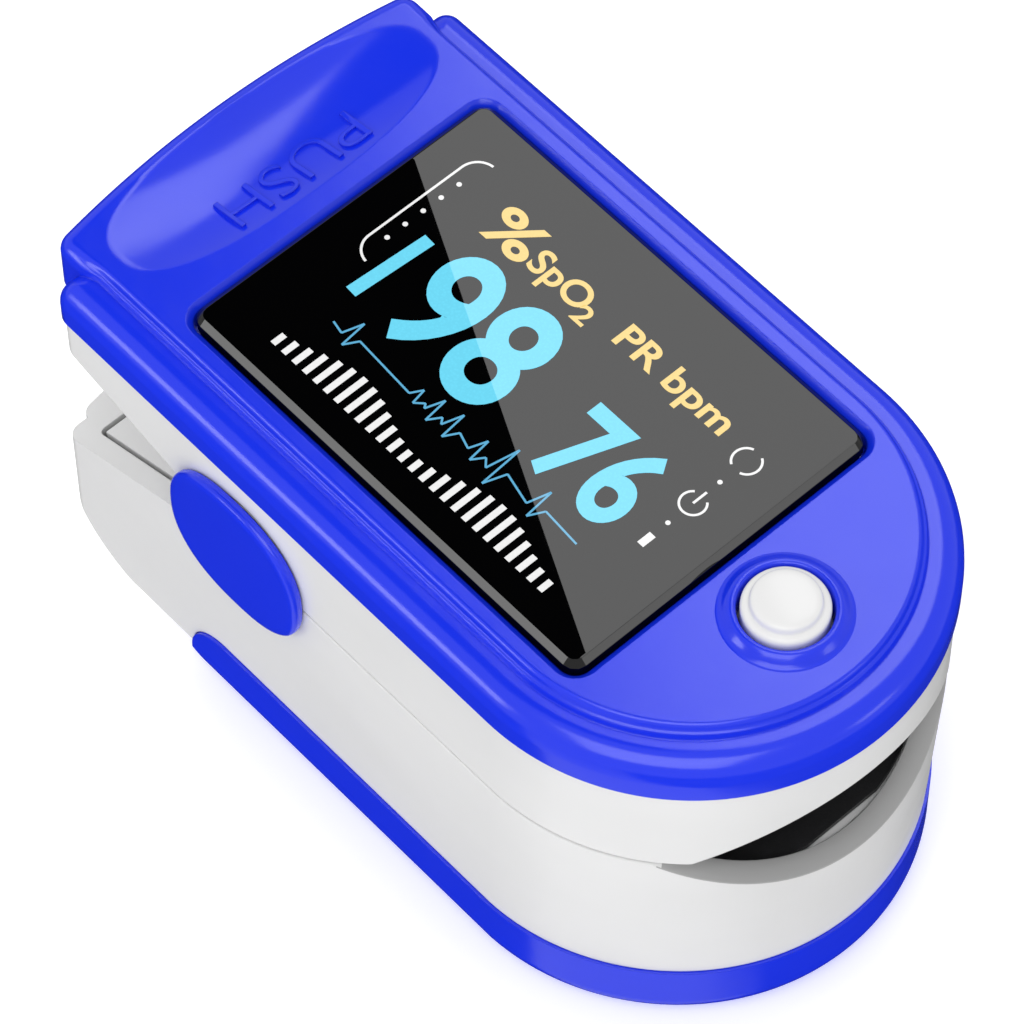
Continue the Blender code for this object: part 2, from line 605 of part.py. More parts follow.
def lower_liner(build):
    """White inner floor: seat of the lower pad, finger stop, hinge ears and the rear deck."""
    deck_start, deck_end, thick = 12.3 * MM, 24.4 * MM, 0.75 * MM
    floor_low, floor_top = 14.0 * MM, 14.5 * MM
    well_low, well_top = 15.65 * MM, 16.4 * MM
    stop = 3.5 * MM
    profile = [(-29 * MM, floor_low), (stop + 0.9 * MM, floor_low), (stop + 0.9 * MM, well_low),
               (10.6 * MM, well_low), (deck_start + 0.1 * MM, lower_rear_edge(deck_start) - thick),
               (deck_end, lower_rear_edge(deck_end) - thick), (deck_end, lower_rear_edge(deck_end)),
               (deck_start, lower_rear_edge(deck_start)), (10.3 * MM, well_top),
               (5.6 * MM, well_top), (stop + 0.9 * MM, 18.6 * MM), (stop, 18.6 * MM),
               (stop, floor_top), (-29 * MM, floor_top)]
    liner = build.prism("lower_liner", profile, -14.1 * MM, 14.1 * MM, plane=SIDE)
    plan = build.prism("liner_plan", case_outline(1.9 * MM, deck_end + 1 * MM, 0.5 * MM), 5 * MM, 30 * MM,
                       cutter=True)
    combine(liner, plan, "INTERSECT")
    for side, name in ((-1, "left"), (1, "right")):
        middle = side * EAR_X
        outline = arc((HINGE.y, HINGE.z), 2.9 * MM, 0, 180, 12)
        outline += [(HINGE.y - 2.9 * MM, well_low + 0.3 * MM), (HINGE.y + 2.9 * MM, well_low + 0.3 * MM)]
        ear = build.prism(f"ear_{name}", outline, middle - LUG_WIDTH / 2, middle + LUG_WIDTH / 2,
                          plane=SIDE, cutter=True)
        join(liner, ear)
        screw_hole = build.rod(f"liner_screw_hole_{name}", 0.95 * MM, 4 * MM,
                               (side * LOWER_SCREW_X, LOWER_SCREW_Y, 14 * MM), cutter=True, steps=12)
        cut(liner, screw_hole)
    bore = build.rod("ear_bore", PIN_RADIUS + 0.2 * MM, 30 * MM, HINGE, axis="X", steps=22, cutter=True)
    well_room = build.prism("spring_well", [(4.6 * MM, well_top), (26 * MM, well_top), (26 * MM, 25 * MM),
                                            (4.6 * MM, 25 * MM)],
                            -7.6 * MM, 7.6 * MM, plane=SIDE, cutter=True)
    inner_low, inner_top = well_low + 0.05 * MM, well_top - 0.05 * MM
    well_floor = build.prism("well_floor", [(9 * MM, inner_low), (17.0 * MM, inner_low),
                                            (17.0 * MM, inner_top), (9 * MM, inner_top)],
                             -7.9 * MM, 7.9 * MM, plane=SIDE, cutter=True)
    detector = build.rod("detector_room", 2.3 * MM, 4 * MM, (0, OPTICS_Y, 14 * MM), cutter=True)
    cut(liner, bore, well_room, detector)
    join(liner, well_floor)
    return build.paint(liner, "white_gloss")


def hinge_parts(build):
    """Steel hinge pin and the blue cap on each side."""
    pin = build.rod("hinge_pin", PIN_RADIUS, PIN_LENGTH, HINGE, axis="X", steps=20)
    build.paint(pin, "steel")
    for side, name in ((-1, "left"), (1, "right")):
        face = squircle((HINGE.y, HINGE.z), (6.0 * MM, 5.7 * MM))
        near, far = sorted((side * 16.05 * MM, side * 16.6 * MM))
        cap = build.prism(f"hinge_cap_{name}", face, near, far, plane=SIDE, bevel=0.2 * MM)
        stem = build.rod(f"cap_stem_{name}", 2.0 * MM, 1.9 * MM, (side * 15.4 * MM, HINGE.y, HINGE.z),
                         axis="X", cutter=True)
        join(cap, stem)
        build.paint(cap, "blue_gloss")
    return pin


def squircle(centre, half, power=2.5, steps=36):
    """Superellipse outline, between an oval and a rectangle."""
    points = []
    for step in range(steps):
        angle = 2 * math.pi * step / steps
        across, up = math.cos(angle), math.sin(angle)
        points.append((centre[0] + half[0] * math.copysign(abs(across) ** (2 / power), across),
                       centre[1] + half[1] * math.copysign(abs(up) ** (2 / power), up)))
    return points


def tangent_angle(tip, side):
    """Angle on the coil where a straight arm to the tip leaves it, above (1) or below (-1)."""
    offset = tip - Vector((HINGE.y, HINGE.z))
    return math.atan2(offset.y, offset.x) + side * math.acos(COIL_RADIUS / offset.length)


def torsion_spring(build):
    """Coil round the hinge pin, with one arm on the lower deck and one under the upper frame."""
    start = tangent_angle(LOWER_ARM_TIP, -1)
    finish = tangent_angle(UPPER_ARM_TIP, 1) - 2 * math.pi * (COIL_TURNS + 1)
    steps = 12 * COIL_TURNS
    points = [(-COIL_HALF, *LOWER_ARM_TIP)]
    for step in range(steps + 1):
        share = step / steps
        angle = start + (finish - start) * share
        points.append((COIL_HALF * (2 * share - 1), HINGE.y + COIL_RADIUS * math.cos(angle),
                       HINGE.z + COIL_RADIUS * math.sin(angle)))
    points.append((COIL_HALF, *UPPER_ARM_TIP))
    spring = build.wire("torsion_spring", points, SPRING_WIRE)
    return build.paint(spring, "steel")


def cells(build):
    """Two AAA cells, laid head to tail."""
    for side, name in ((-1, "left"), (1, "right")):
        profile = [(0, NUB_LENGTH), (1.9 * MM, NUB_LENGTH), (1.9 * MM, 0), (CELL_RADIUS - 0.4 * MM, 0),
                   (CELL_RADIUS, -0.4 * MM), (CELL_RADIUS, 0.4 * MM - CELL_LENGTH),
                   (CELL_RADIUS - 0.4 * MM, -CELL_LENGTH), (0, -CELL_LENGTH)]
        nub_end = CELL_FRONT if side < 0 else CELL_FRONT + CELL_LENGTH + 0.1 * MM
        cell = build.lathe(f"battery_{name}", profile, (side * CELL_X, nub_end, CELL_Z), steps=28,
                           turn=(-side * math.pi / 2, 0, 0))
        build.paint(cell, "cell_wrap")


def battery_contacts(build):
    """Coil springs on the negative ends, pressed plates behind them and on the positive ends."""
    bridge = build.box("bridge_contact", (15.0 * MM, 0.4 * MM, 5.0 * MM), (0, -24.5 * MM, CELL_Z))
    bump = build.rod("bridge_bump", 2.2 * MM, 1.2 * MM, (-CELL_X, -23.9 * MM, CELL_Z), axis="Y",
                     tip_radius=1.5 * MM, cutter=True, steps=16)
    join(bridge, bump)
    build.paint(bridge, "nickel")
    for side, name in ((-1, "left"), (1, "right")):
        plate = build.box(f"contact_{name}", (7.0 * MM, 0.4 * MM, 6.0 * MM),
                          (side * CELL_X, 24.5 * MM, CELL_Z + 0.5 * MM))
        if side > 0:
            bump = build.rod("contact_bump", 2.2 * MM, 1.8 * MM, (side * CELL_X, 23.6 * MM, CELL_Z),
                             axis="Y", tip_radius=1.5 * MM, cutter=True, steps=16)
            bump.data.transform(Matrix.Rotation(math.pi, 4, "Z"))
            join(plate, bump)
        build.paint(plate, "nickel")
    contact_spring(build, "contact_spring_left", -CELL_X, 23.95 * MM, 21.95 * MM)
    contact_spring(build, "contact_spring_right", CELL_X, -23.9 * MM, -22.6 * MM)


def contact_spring(build, name, x, plate_y, cell_y):
    """Cone-shaped spring between a plate and the flat end of a cell."""
    turns, steps = 2.5, 36
    wire = 0.25 * MM
    points = []
    for step in range(steps + 1):
        share = step / steps
        angle = 2 * math.pi * turns * share
        radius = (3.4 - 1.6 * share) * MM
        points.append((x + radius * math.cos(angle), plate_y + (cell_y - plate_y) * share,
                       CELL_Z + radius * math.sin(angle)))
    return build.paint(build.wire(name, points, wire), "nickel")


def screws(build):
    """Pan-head screws that hold the two inner frames."""
    places = [(f"cover_screw_{number}", (*spot, 24.6 * MM), 4.0 * MM)
              for number, spot in enumerate(COVER_SCREWS, 1)]
    places += [(f"liner_screw_{name}", (side * LOWER_SCREW_X, LOWER_SCREW_Y, 11.2 * MM), 2.8 * MM)
               for side, name in ((-1, "left"), (1, "right"))]
    for name, place, length in places:
        profile = [(0, length), (0.6 * MM, length), (0.6 * MM, 0), (1.25 * MM, 0), (1.25 * MM, -0.35 * MM),
                   (0.9 * MM, -0.75 * MM), (0, -0.75 * MM)]
        screw = build.lathe(name, profile, place, steps=16)
        build.paint(screw, "steel")


def group(name, location, members):
    """Parent pieces to an empty that marks their body's joint, keeping them in place."""
    empty = bpy.data.objects.new(name, None)
    empty.location = location
    empty.empty_display_size = 0.005
    bpy.context.scene.collection.objects.link(empty)
    bpy.context.view_layer.update()
    for member in members:
        piece = bpy.data.objects[member]
        piece.parent = empty
        piece.matrix_parent_inverse = empty.matrix_world.inverted()
    return empty


def main():
    """Build every piece and group the pieces by the body that they move with."""
    clear_scene()
    build = Builder()
    for make in (lower_shell, lower_liner, hinge_parts, torsion_spring, cells, battery_contacts,
                 battery_cover, upper_shell, upper_liner, finger_pads, optics, main_board, button_switch,
                 top_cover, display_window, power_button, screws):
        make(build)
    upper = ["top_cover", "display_window", "upper_shell", "upper_liner", "upper_pad", "main_board",
             "microcontroller", "analog_chip", "oled_display", "switch_body", "led_emitter",
             "emitter_lens"] + [f"cover_screw_{number}" for number in range(1, 5)]
    moving = {"upper_half": (HINGE, upper), "cover_slide": (Vector((0, 0, 0)), ["battery_cover"]),
              "button_axis": (BUTTON, ["power_button"]), "plunger_axis": (BUTTON, ["switch_plunger"])}
    for name, (location, members) in moving.items():
        group(name, location, members)
    taken = {member for _, members in moving.values() for member in members}
    group("lower_half", Vector((0, 0, 0)), [piece.name for piece in build.parts.objects
                                            if piece.name not in taken])


if __name__ == "__main__":
    main()
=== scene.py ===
"""Fingertip clip meter: detailed skins, readout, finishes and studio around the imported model."""
import json
import math

import bmesh
import bpy
import numpy as np
from bpy.props import (BoolProperty, FloatProperty, FloatVectorProperty, IntProperty, PointerProperty,
                       StringProperty)
from mathutils import Matrix, Vector


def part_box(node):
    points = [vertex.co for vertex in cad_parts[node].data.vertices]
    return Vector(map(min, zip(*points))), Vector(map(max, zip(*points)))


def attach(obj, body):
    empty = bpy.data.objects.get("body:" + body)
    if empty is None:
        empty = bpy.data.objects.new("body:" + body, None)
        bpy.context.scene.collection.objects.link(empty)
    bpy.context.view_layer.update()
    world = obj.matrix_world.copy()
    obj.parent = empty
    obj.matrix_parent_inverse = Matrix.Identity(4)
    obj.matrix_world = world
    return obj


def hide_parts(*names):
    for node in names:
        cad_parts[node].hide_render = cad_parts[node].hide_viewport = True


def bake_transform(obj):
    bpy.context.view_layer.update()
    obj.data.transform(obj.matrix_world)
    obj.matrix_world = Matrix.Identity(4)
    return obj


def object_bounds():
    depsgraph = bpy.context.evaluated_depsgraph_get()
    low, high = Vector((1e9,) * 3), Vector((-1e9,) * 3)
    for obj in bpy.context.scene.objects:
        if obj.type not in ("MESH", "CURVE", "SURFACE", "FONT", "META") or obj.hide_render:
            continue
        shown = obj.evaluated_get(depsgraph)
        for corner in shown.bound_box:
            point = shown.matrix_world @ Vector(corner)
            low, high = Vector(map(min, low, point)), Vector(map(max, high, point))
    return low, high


bl_info = {
    "name": "Fingertip Clip Meter",
    "version": (1, 0, 0),
    "blender": (4, 5, 0),
    "location": "View3D > Sidebar > Clip Meter",
    "description": "Builds the skins, readout, pads, spring, finishes and studio of a fingertip meter",
    "category": "Object",
}

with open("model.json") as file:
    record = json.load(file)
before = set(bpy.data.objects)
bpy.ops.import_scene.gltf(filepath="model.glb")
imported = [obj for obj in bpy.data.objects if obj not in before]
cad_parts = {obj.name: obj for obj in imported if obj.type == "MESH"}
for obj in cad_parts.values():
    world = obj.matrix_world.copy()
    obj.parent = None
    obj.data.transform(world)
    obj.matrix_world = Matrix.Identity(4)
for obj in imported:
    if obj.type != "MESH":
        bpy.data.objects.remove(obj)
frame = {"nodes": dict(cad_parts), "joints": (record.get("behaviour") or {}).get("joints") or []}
CAD_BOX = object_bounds()
MM = 0.001

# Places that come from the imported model, in metres.
COVER_LOW, COVER_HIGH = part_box("top_cover")
WINDOW_LOW, WINDOW_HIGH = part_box("display_window")
BUTTON_LOW, BUTTON_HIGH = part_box("power_button")
UPPER_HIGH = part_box("upper_shell")[1]
LOWER_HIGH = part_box("lower_shell")[1]
CAP_LOW, CAP_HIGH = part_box("hinge_cap_right")
UPPER_PAD_LOW, UPPER_PAD_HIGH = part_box("upper_pad")
LOWER_PAD_LOW, LOWER_PAD_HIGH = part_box("lower_pad")
SPRING_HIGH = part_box("torsion_spring")[1]
LENS_LOW, LENS_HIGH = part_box("emitter_lens")
HINGE = Vector(next(joint["pos_m"] for joint in frame["joints"] if joint["name"] == "clip_hinge"))

HALF = COVER_HIGH.x
FRONT = COVER_LOW.y + HALF
TAB_REAR = COVER_HIGH.y
SHOULDER = TAB_REAR - 3.15 * MM
LOWER_SHOULDER = TAB_REAR - 2.35 * MM
CLEAR = 0.3 * MM
BAND_LOW = UPPER_HIGH.z + CLEAR
WINDOW_TOP = WINDOW_HIGH.z
PLATEAU = WINDOW_TOP - 0.4 * MM
RIM = PLATEAU - 0.95 * MM
WINDOW_CENTRE = (WINDOW_LOW + WINDOW_HIGH) / 2
WINDOW_HALF = (WINDOW_HIGH - WINDOW_LOW) / 2
BUTTON = (BUTTON_LOW + BUTTON_HIGH) / 2
SEAM = (UPPER_PAD_LOW.z + LOWER_PAD_HIGH.z) / 2
CEILING = PLATEAU - 1.9 * MM
WALL = 1.4 * MM
COVER_WALL = 1.5 * MM

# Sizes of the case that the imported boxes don't give.
TAB_HALF = 14.2 * MM
TAB_BULGE = 1.2 * MM
CORNER = 1.2 * MM
SHELL_CORNER = 1.1 * MM
SHELL_INSET = 0.2 * MM
SLOPE_START = 15 * MM
UPPER_EDGE, UPPER_SLOPE = 21.3 * MM, 0.257
LOWER_EDGE, LOWER_SLOPE = 17.2 * MM, -0.353

# Reach of the tools that cut right across, past the rear end, and below or above the case.
ACROSS = 20 * MM
BEHIND = 32 * MM
FAR = 40 * MM


# ---------------------------------------------------------------- outlines

def arc(centre, radius, start, end, steps):
    """Points centre + radius (cos a, sin a), a from start to end degrees, as a (steps + 1, 2) array."""
    angle = np.radians(np.linspace(start, end, steps + 1))
    return np.stack([centre[0] + radius * np.cos(angle), centre[1] + radius * np.sin(angle)], 1)


def between(first, last, steps):
    """Evenly spaced points strictly between two points."""
    share = np.linspace(0, 1, steps + 1)[1:-1, None]
    return np.asarray(first) * (1 - share) + np.asarray(last) * share


def case_loop(half, rear, corner, bulge=0.0):
    """Plan outline, anticlockwise: half circle of radius half, straight sides, corner arcs and a rear
    edge y = rear - bulge (x / reach)^2 that meets the corner arcs at its own slope."""
    corner = max(corner, 0.05 * MM)
    tilt = math.atan2(2 * bulge, half - corner)
    reach = half - corner + corner * math.sin(tilt)
    turn = rear - bulge - corner * math.cos(tilt)
    nose = arc((0, FRONT), half, 180, 360, 96)
    right = arc((half - corner, turn), corner, 0, 90 - math.degrees(tilt), 10)
    x = np.linspace(reach, -reach, 35)[1:-1]
    back = np.stack([x, rear - bulge * (x / reach) ** 2], 1)
    left = right[::-1] * (-1, 1)
    return np.vstack([nose, between(nose[-1], right[0], 30), right, back, left,
                      between(left[-1], nose[0], 30)])


def box_loop(centre, half, radius, steps=10):
    """Rectangle outline with round corners, anticlockwise."""
    parts = []
    for sign_x, sign_y, start in ((1, -1, 270), (1, 1, 0), (-1, 1, 90), (-1, -1, 180)):
        middle = (centre[0] + sign_x * (half[0] - radius), centre[1] + sign_y * (half[1] - radius))
        parts.append(arc(middle, radius, start, start + 90, steps))
    return np.vstack(parts)


def oval_loop(centre, half, power, steps):
    """Superellipse |u / a|^p + |v / b|^p = 1 about a centre."""
    angle = np.linspace(0, 2 * np.pi, steps, endpoint=False)
    wave = np.stack([np.cos(angle), np.sin(angle)], 1)
    return np.asarray(centre) + np.asarray(half) * np.sign(wave) * np.abs(wave) ** (2 / power)


def smooth_step(value, low, high):
    """0 below low, 1 above high, 3t^2 - 2t^3 between."""
    share = np.clip((value - low) / (high - low), 0, 1)
    return share * share * (3 - 2 * share)


def upper_rear_edge(y):
    """Height of the upper shell's underside behind the hinge, a straight slope."""
    return UPPER_EDGE + UPPER_SLOPE * (y - SLOPE_START)


def lower_rear_edge(y):
    """Height of the lower shell's top behind the hinge, a straight slope."""
    return LOWER_EDGE + LOWER_SLOPE * (y - SLOPE_START)


# ---------------------------------------------------------------- meshes

def ring_faces(rings, count):
    """Quads between neighbouring rings of count points, each ring closed on itself."""
    row, column = np.meshgrid(np.arange(rings - 1), np.arange(count), indexing="ij")
    onward = (column + 1) % count
    quads = [row * count + column, row * count + onward, (row + 1) * count + onward,
             (row + 1) * count + column]
    return np.stack(quads, -1).reshape(-1, 4).tolist()


def new_piece(name, points, faces):
    """Link a welded mesh whose closed shells face outwards."""
    mesh = bpy.data.meshes.new(name)
    mesh.from_pydata(np.asarray(points).reshape(-1, 3).tolist(), [], faces)
    weld(mesh)
    piece = bpy.data.objects.new(name, mesh)
    bpy.context.scene.collection.objects.link(piece)
    return piece


def weld(mesh):
    """Merge doubled points and turn every closed shell's faces outwards."""
    work = bmesh.new()
    work.from_mesh(mesh)
    bmesh.ops.remove_doubles(work, verts=work.verts, dist=0.0005 * MM)
    bmesh.ops.recalc_face_normals(work, faces=work.faces)
    work.to_mesh(mesh)
    work.free()


def loft(name, rings):
    """Closed solid through a stack of equal rings (K, N, 3), flat at both ends."""
    rings = np.asarray(rings)
    count = rings.shape[1]
    last = (len(rings) - 1) * count
    ends = [list(range(count))[::-1], list(range(last, last + count))]
    return new_piece(name, rings, ring_faces(len(rings), count) + ends)


def hoop(name, rings):
    """Closed band: the rings (K, N, 3) joined in order and the last one to the first."""
    rings = np.concatenate([rings, rings[:1]])
    return new_piece(name, rings, ring_faces(len(rings), rings.shape[1]))


def stack(loops, heights):
    """Rings (K, N, 3) from plan loops (K, N, 2) and one height, or N heights, for each."""
    loops = np.asarray(loops)
    heights = np.broadcast_to(np.asarray(heights).reshape(len(loops), -1), loops.shape[:2])
    return np.concatenate([loops, heights[..., None]], 2)


def plan_rings(profile, half, rear, corner, bulge=0.0):
    """Rings of the case plan for a profile of (inset, height) rows."""
    profile = np.asarray(profile)
    loops = [case_loop(half - inset, rear - inset, corner - inset, bulge) for inset in profile[:, 0]]
    return stack(loops, profile[:, 1])


def side_prism(name, outline, low, high):
    """Solid whose (y, z) outline runs across the clip from x = low to x = high."""
    outline = np.asarray(outline)
    rings = [np.column_stack([np.full(len(outline), x), outline]) for x in (low, high)]
    return loft(name, rings)


def plan_prism(name, outline, low, high):
    """Solid whose (x, y) outline stands from z = low to z = high."""
    return loft(name, stack([outline, outline], [low, high]))


def bar(name, centre, radius, length, axis="Y", steps=96):
    """Round rod along one axis, centred."""
    circle = arc((0, 0), radius, 0, 360, steps)[:-1]
    rings = []
    for end in (-length / 2, length / 2):
        columns = {"X": [np.full(steps, end), circle[:, 0], circle[:, 1]],
                   "Y": [circle[:, 1], np.full(steps, end), circle[:, 0]],
                   "Z": [circle[:, 0], circle[:, 1], np.full(steps, end)]}[axis]
        rings.append(np.column_stack(columns) + np.asarray(centre))
    return loft(name, rings)


def lathe(name, profile, centre, steps=96, closed=False):
    """Turn (radius, height) rows about the vertical axis: x = r cos a, y = r sin a."""
    profile = np.asarray(profile)
    circle = arc((0, 0), 1.0, 0, 360, steps)[:-1]
    loops = profile[:, :1, None] * circle
    rings = stack(loops, profile[:, 1]) + np.asarray((centre[0], centre[1], 0))
    return hoop(name, rings) if closed else loft(name, rings)


def tube(name, path, radius, sides=14):
    """Round wire: a circle carried along a path (K, 3), its first axis kept square to the path."""
    path = np.asarray(path)
    along = np.gradient(path, axis=0)
    along /= np.linalg.norm(along, axis=1, keepdims=True)
    across = np.cross(along, (1.0, 0.02, 0.03))
    across /= np.linalg.norm(across, axis=1, keepdims=True)
    up = np.cross(along, across)
    angle = np.linspace(0, 2 * np.pi, sides, endpoint=False)[:, None]
    rings = (path[:, None] + radius * (np.cos(angle) * across[:, None] + np.sin(angle) * up[:, None]))
    return loft(name, rings)


def shape(target, **steps):
    """Carve and join: cut=[...] subtracts tools, join=[...] unites them, keep=[...] intersects them."""
    operations = {"join": "UNION", "cut": "DIFFERENCE", "keep": "INTERSECT"}
    tools = []
    for step, members in steps.items():
        for tool in members:
            change = target.modifiers.new(tool.name, "BOOLEAN")
            change.solver = "EXACT"
            change.operation = operations[step]
            change.object = tool
            tools.append(tool)
    settle(target)
    for tool in tools:
        drop(tool)
    return target


def settle(piece):
    """Replace a piece's mesh by what its modifiers make of it."""
    graph = bpy.context.evaluated_depsgraph_get()
    made = bpy.data.meshes.new_from_object(piece.evaluated_get(graph))
    piece.modifiers.clear()
    old = piece.data
    piece.data = made
    bpy.data.meshes.remove(old)


def drop(piece):
    """Remove a piece and its data."""
    data = piece.data
    bpy.data.objects.remove(piece, do_unlink=True)
    if isinstance(data, bpy.types.Mesh):
        bpy.data.meshes.remove(data)
    else:
        bpy.data.curves.remove(data)


def merge(name, pieces):
    """Put several meshes into one new piece."""
    mesh = bpy.data.meshes.new(name)
    work = bmesh.new()
    for piece in pieces:
        work.from_mesh(piece.data)
        drop(piece)
    work.to_mesh(mesh)
    work.free()
    made = bpy.data.objects.new(name, mesh)
    bpy.context.scene.collection.objects.link(made)
    return made


def even_shading(piece, angle=32):
    """Smooth over gentle folds, sharp over others, with the largest faces setting the normals."""
    piece.data.shade_smooth()
    piece.data.set_sharp_from_angle(angle=math.radians(angle))
    weighting = piece.modifiers.new("face_weight", "WEIGHTED_NORMAL")
    weighting.mode = "FACE_AREA"
    weighting.weight = 100
    weighting.keep_sharp = True
    settle(piece)
    return piece


def place(piece, finish, body, slot, *replaced):
    """Give a finished piece its material and its body, and hide the nodes it stands for; its record slot
    is not used.
    """
    piece.data.materials.clear()
    piece.data.materials.append(finish)
    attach(piece, body)
    if replaced:
        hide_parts(*replaced)
    return piece


# ---------------------------------------------------------------- finishes

class Signal:
    """A shader socket that takes part in Python arithmetic."""

    def __init__(self, recipe, socket):
        self.recipe = recipe
        self.socket = socket

    def math(self, operation, first, second):
        """Add one Math node."""
        return self.recipe.node("ShaderNodeMath", {"operation": operation}, {0: first, 1: second})

    def __add__(self, other):
        return self.math("ADD", self, other)

    __radd__ = __add__

    def __sub__(self, other):
        return self.math("SUBTRACT", self, other)

    def __rsub__(self, other):
        return self.math("SUBTRACT", other, self)

    def __mul__(self, other):
        return self.math("MULTIPLY", self, other)

    __rmul__ = __mul__

    def __gt__(self, other):
        return self.math("GREATER_THAN", self, other)

    def __lt__(self, other):
        return self.math("LESS_THAN", self, other)


class NodeWork:
    """Adds and links the nodes of one tree."""

    def __init__(self, tree):
        self.tree = tree

    def node(self, kind, settings=None, inputs=None, output=0):
        """Add a node: its settings first, then the values or links of its sockets."""
        made = self.tree.nodes.new(kind)
        for key, value in (settings or {}).items():
            if key == "stops":
                self.set_stops(made.color_ramp, value)
            else:
                setattr(made, key, value)
        for key, value in (inputs or {}).items():
            self.feed(made.inputs[key], value)
        return Signal(self, made.outputs[output])

    def set_stops(self, ramp, stops):
        """Give a colour ramp its (position, grey) stops."""
        while len(ramp.elements) < len(stops):
            ramp.elements.new(1.0)
        for element, (position, grey) in zip(ramp.elements, stops):
            element.position = position
            element.color = (grey, grey, grey, 1.0)

    def feed(self, socket, value):
        """Link a signal or set a constant."""
        if isinstance(value, Signal):
            self.tree.links.new(value.socket, socket)
        else:
            socket.default_value = value

    def ramp(self, signal, *stops):
        """Reshape a value by grey stops."""
        return self.node("ShaderNodeValToRGB", {"stops": stops}, {"Fac": signal})

    def parts(self, vector):
        """The three coordinates of a vector."""
        return [self.node("ShaderNodeSeparateXYZ", None, {"Vector": vector}, name) for name in "XYZ"]


class Recipe(NodeWork):
    """One material and the nodes that feed its Principled shader."""

    def __init__(self, name, **constants):
        self.material = bpy.data.materials.new(name)
        self.material.use_nodes = True
        super().__init__(self.material.node_tree)
        self.shader = self.tree.nodes["Principled BSDF"]
        for socket, value in constants.items():
            self.shader.inputs[socket.replace("_", " ")].default_value = value
        self.position = self.node("ShaderNodeTexCoord", output="Object")

    def noise(self, scale, detail=2.0, roughness=0.5, stretch=None):
        """Noise on the piece's own coordinates, scale in lumps per metre, about 0.5."""
        where = self.position
        if stretch is not None:
            where = self.node("ShaderNodeMapping", None, {"Vector": where, "Scale": stretch})
        return self.node("ShaderNodeTexNoise", None, {"Vector": where, "Scale": scale, "Detail": detail,
                                                      "Roughness": roughness})

    def cells(self, scale, feature="F1"):
        """Distance pattern of a cell texture."""
        return self.node("ShaderNodeTexVoronoi", {"feature": feature},
                         {"Vector": self.position, "Scale": scale}, "Distance")

    def mix(self, first, second, factor):
        """Blend two colours."""
        first, second = (c if isinstance(c, Signal) else (*c, 1.0) for c in (first, second))
        return self.node("ShaderNodeMix", {"data_type": "RGBA"}, {0: factor, 6: first, 7: second}, 2)

    def relief(self, height, distance, edge=0.0):
        """Bump of a real height in metres, over edges softened by a small radius."""
        inputs = {"Height": height, "Distance": distance, "Strength": 1.0}
        if edge:
            inputs["Normal"] = self.node("ShaderNodeBevel", {"samples": 4}, {"Radius": edge})
        return self.node("ShaderNodeBump", None, inputs)

    def finish(self, **signals):
        """Link the signals to the shader and return the material."""
        for socket, value in signals.items():
            self.feed(self.shader.inputs[socket.replace("_", " ")], value)
        return self.material


def tint(colour, factor):
    """A colour made lighter or darker."""
    return tuple(min(1.0, part * factor) for part in colour[:3])


def moulded_plastic(name, colour, roughness, specular, edge=0.00012):
    """Glossy moulded plastic: faint flow marks in the colour, handling haze, fine orange peel."""
    recipe = Recipe(name, Specular_IOR_Level=specular)
    flow = recipe.ramp(recipe.noise(70, 3.0, stretch=(1.0, 0.35, 1.0)), (0.3, 0.0), (0.7, 1.0))
    haze = recipe.noise(420, 4.0, 0.6)
    peel = recipe.noise(900, 2.0)
    return recipe.finish(
        Base_Color=recipe.mix(tint(colour, 0.955), tint(colour, 1.03), flow),
        Roughness=roughness + (haze - 0.5) * 0.09,
        Normal=recipe.relief(peel, 0.000004, edge))


def window_glass(name, colour):
    """Black printed slab: a trace of depth in the black, smudges that only change the gloss."""
    recipe = Recipe(name, Specular_IOR_Level=0.5)
    smudge = recipe.ramp(recipe.noise(130, 5.0, 0.6), (0.45, 0.0), (0.75, 1.0))
    return recipe.finish(
        Base_Color=recipe.mix(colour, tint(colour, 2.0), recipe.noise(60, 2.0)),
        Roughness=0.004 + smudge * 0.006)


def lit_print(name, colour, strength):
    """Lit segments under the glass: bright colour with a fine dot raster, and the slab's own gloss."""
    recipe = Recipe(name, Roughness=0.006, Specular_IOR_Level=0.5, Emission_Strength=strength)
    raster = recipe.ramp(recipe.cells(5200), (0.1, 0.0), (0.6, 1.0))
    glow = recipe.mix(tint(colour, 1.0), tint(colour, 0.93), raster)
    return recipe.finish(Base_Color=recipe.mix(tint(colour, 0.02), tint(colour, 0.03), raster),
                         Emission_Color=glow)


def silicone(name, colour):
    """Soft matt rubber: fine grain, dusty high spots, a slight sheen."""
    recipe = Recipe(name, Specular_IOR_Level=0.3, Sheen_Weight=0.12, Sheen_Roughness=0.5)
    grain = recipe.noise(5200, 3.0, 0.6)
    dust = recipe.ramp(recipe.noise(650, 5.0, 0.7), (0.55, 0.0), (0.85, 1.0))
    return recipe.finish(
        Base_Color=recipe.mix(colour, tint(colour, 3.5), dust * 0.5),
        Roughness=0.52 + grain * 0.16,
        Normal=recipe.relief(grain, 0.00003, 0.0001))


def brushed_metal(name, colour, roughness):
    """Plated or drawn metal: drawing lines, small pits, a faint tarnish."""
    recipe = Recipe(name, Metallic=1.0)
    lines = recipe.noise(9000, 2.0, stretch=(0.12, 1.0, 1.0))
    tarnish = recipe.ramp(recipe.noise(500, 4.0, 0.65), (0.5, 0.0), (0.8, 1.0))
    return recipe.finish(
        Base_Color=recipe.mix(colour, tint(colour, 0.72), tarnish * 0.6),
        Roughness=roughness + lines * 0.12 + tarnish * 0.08,
        Normal=recipe.relief(lines, 0.000003))


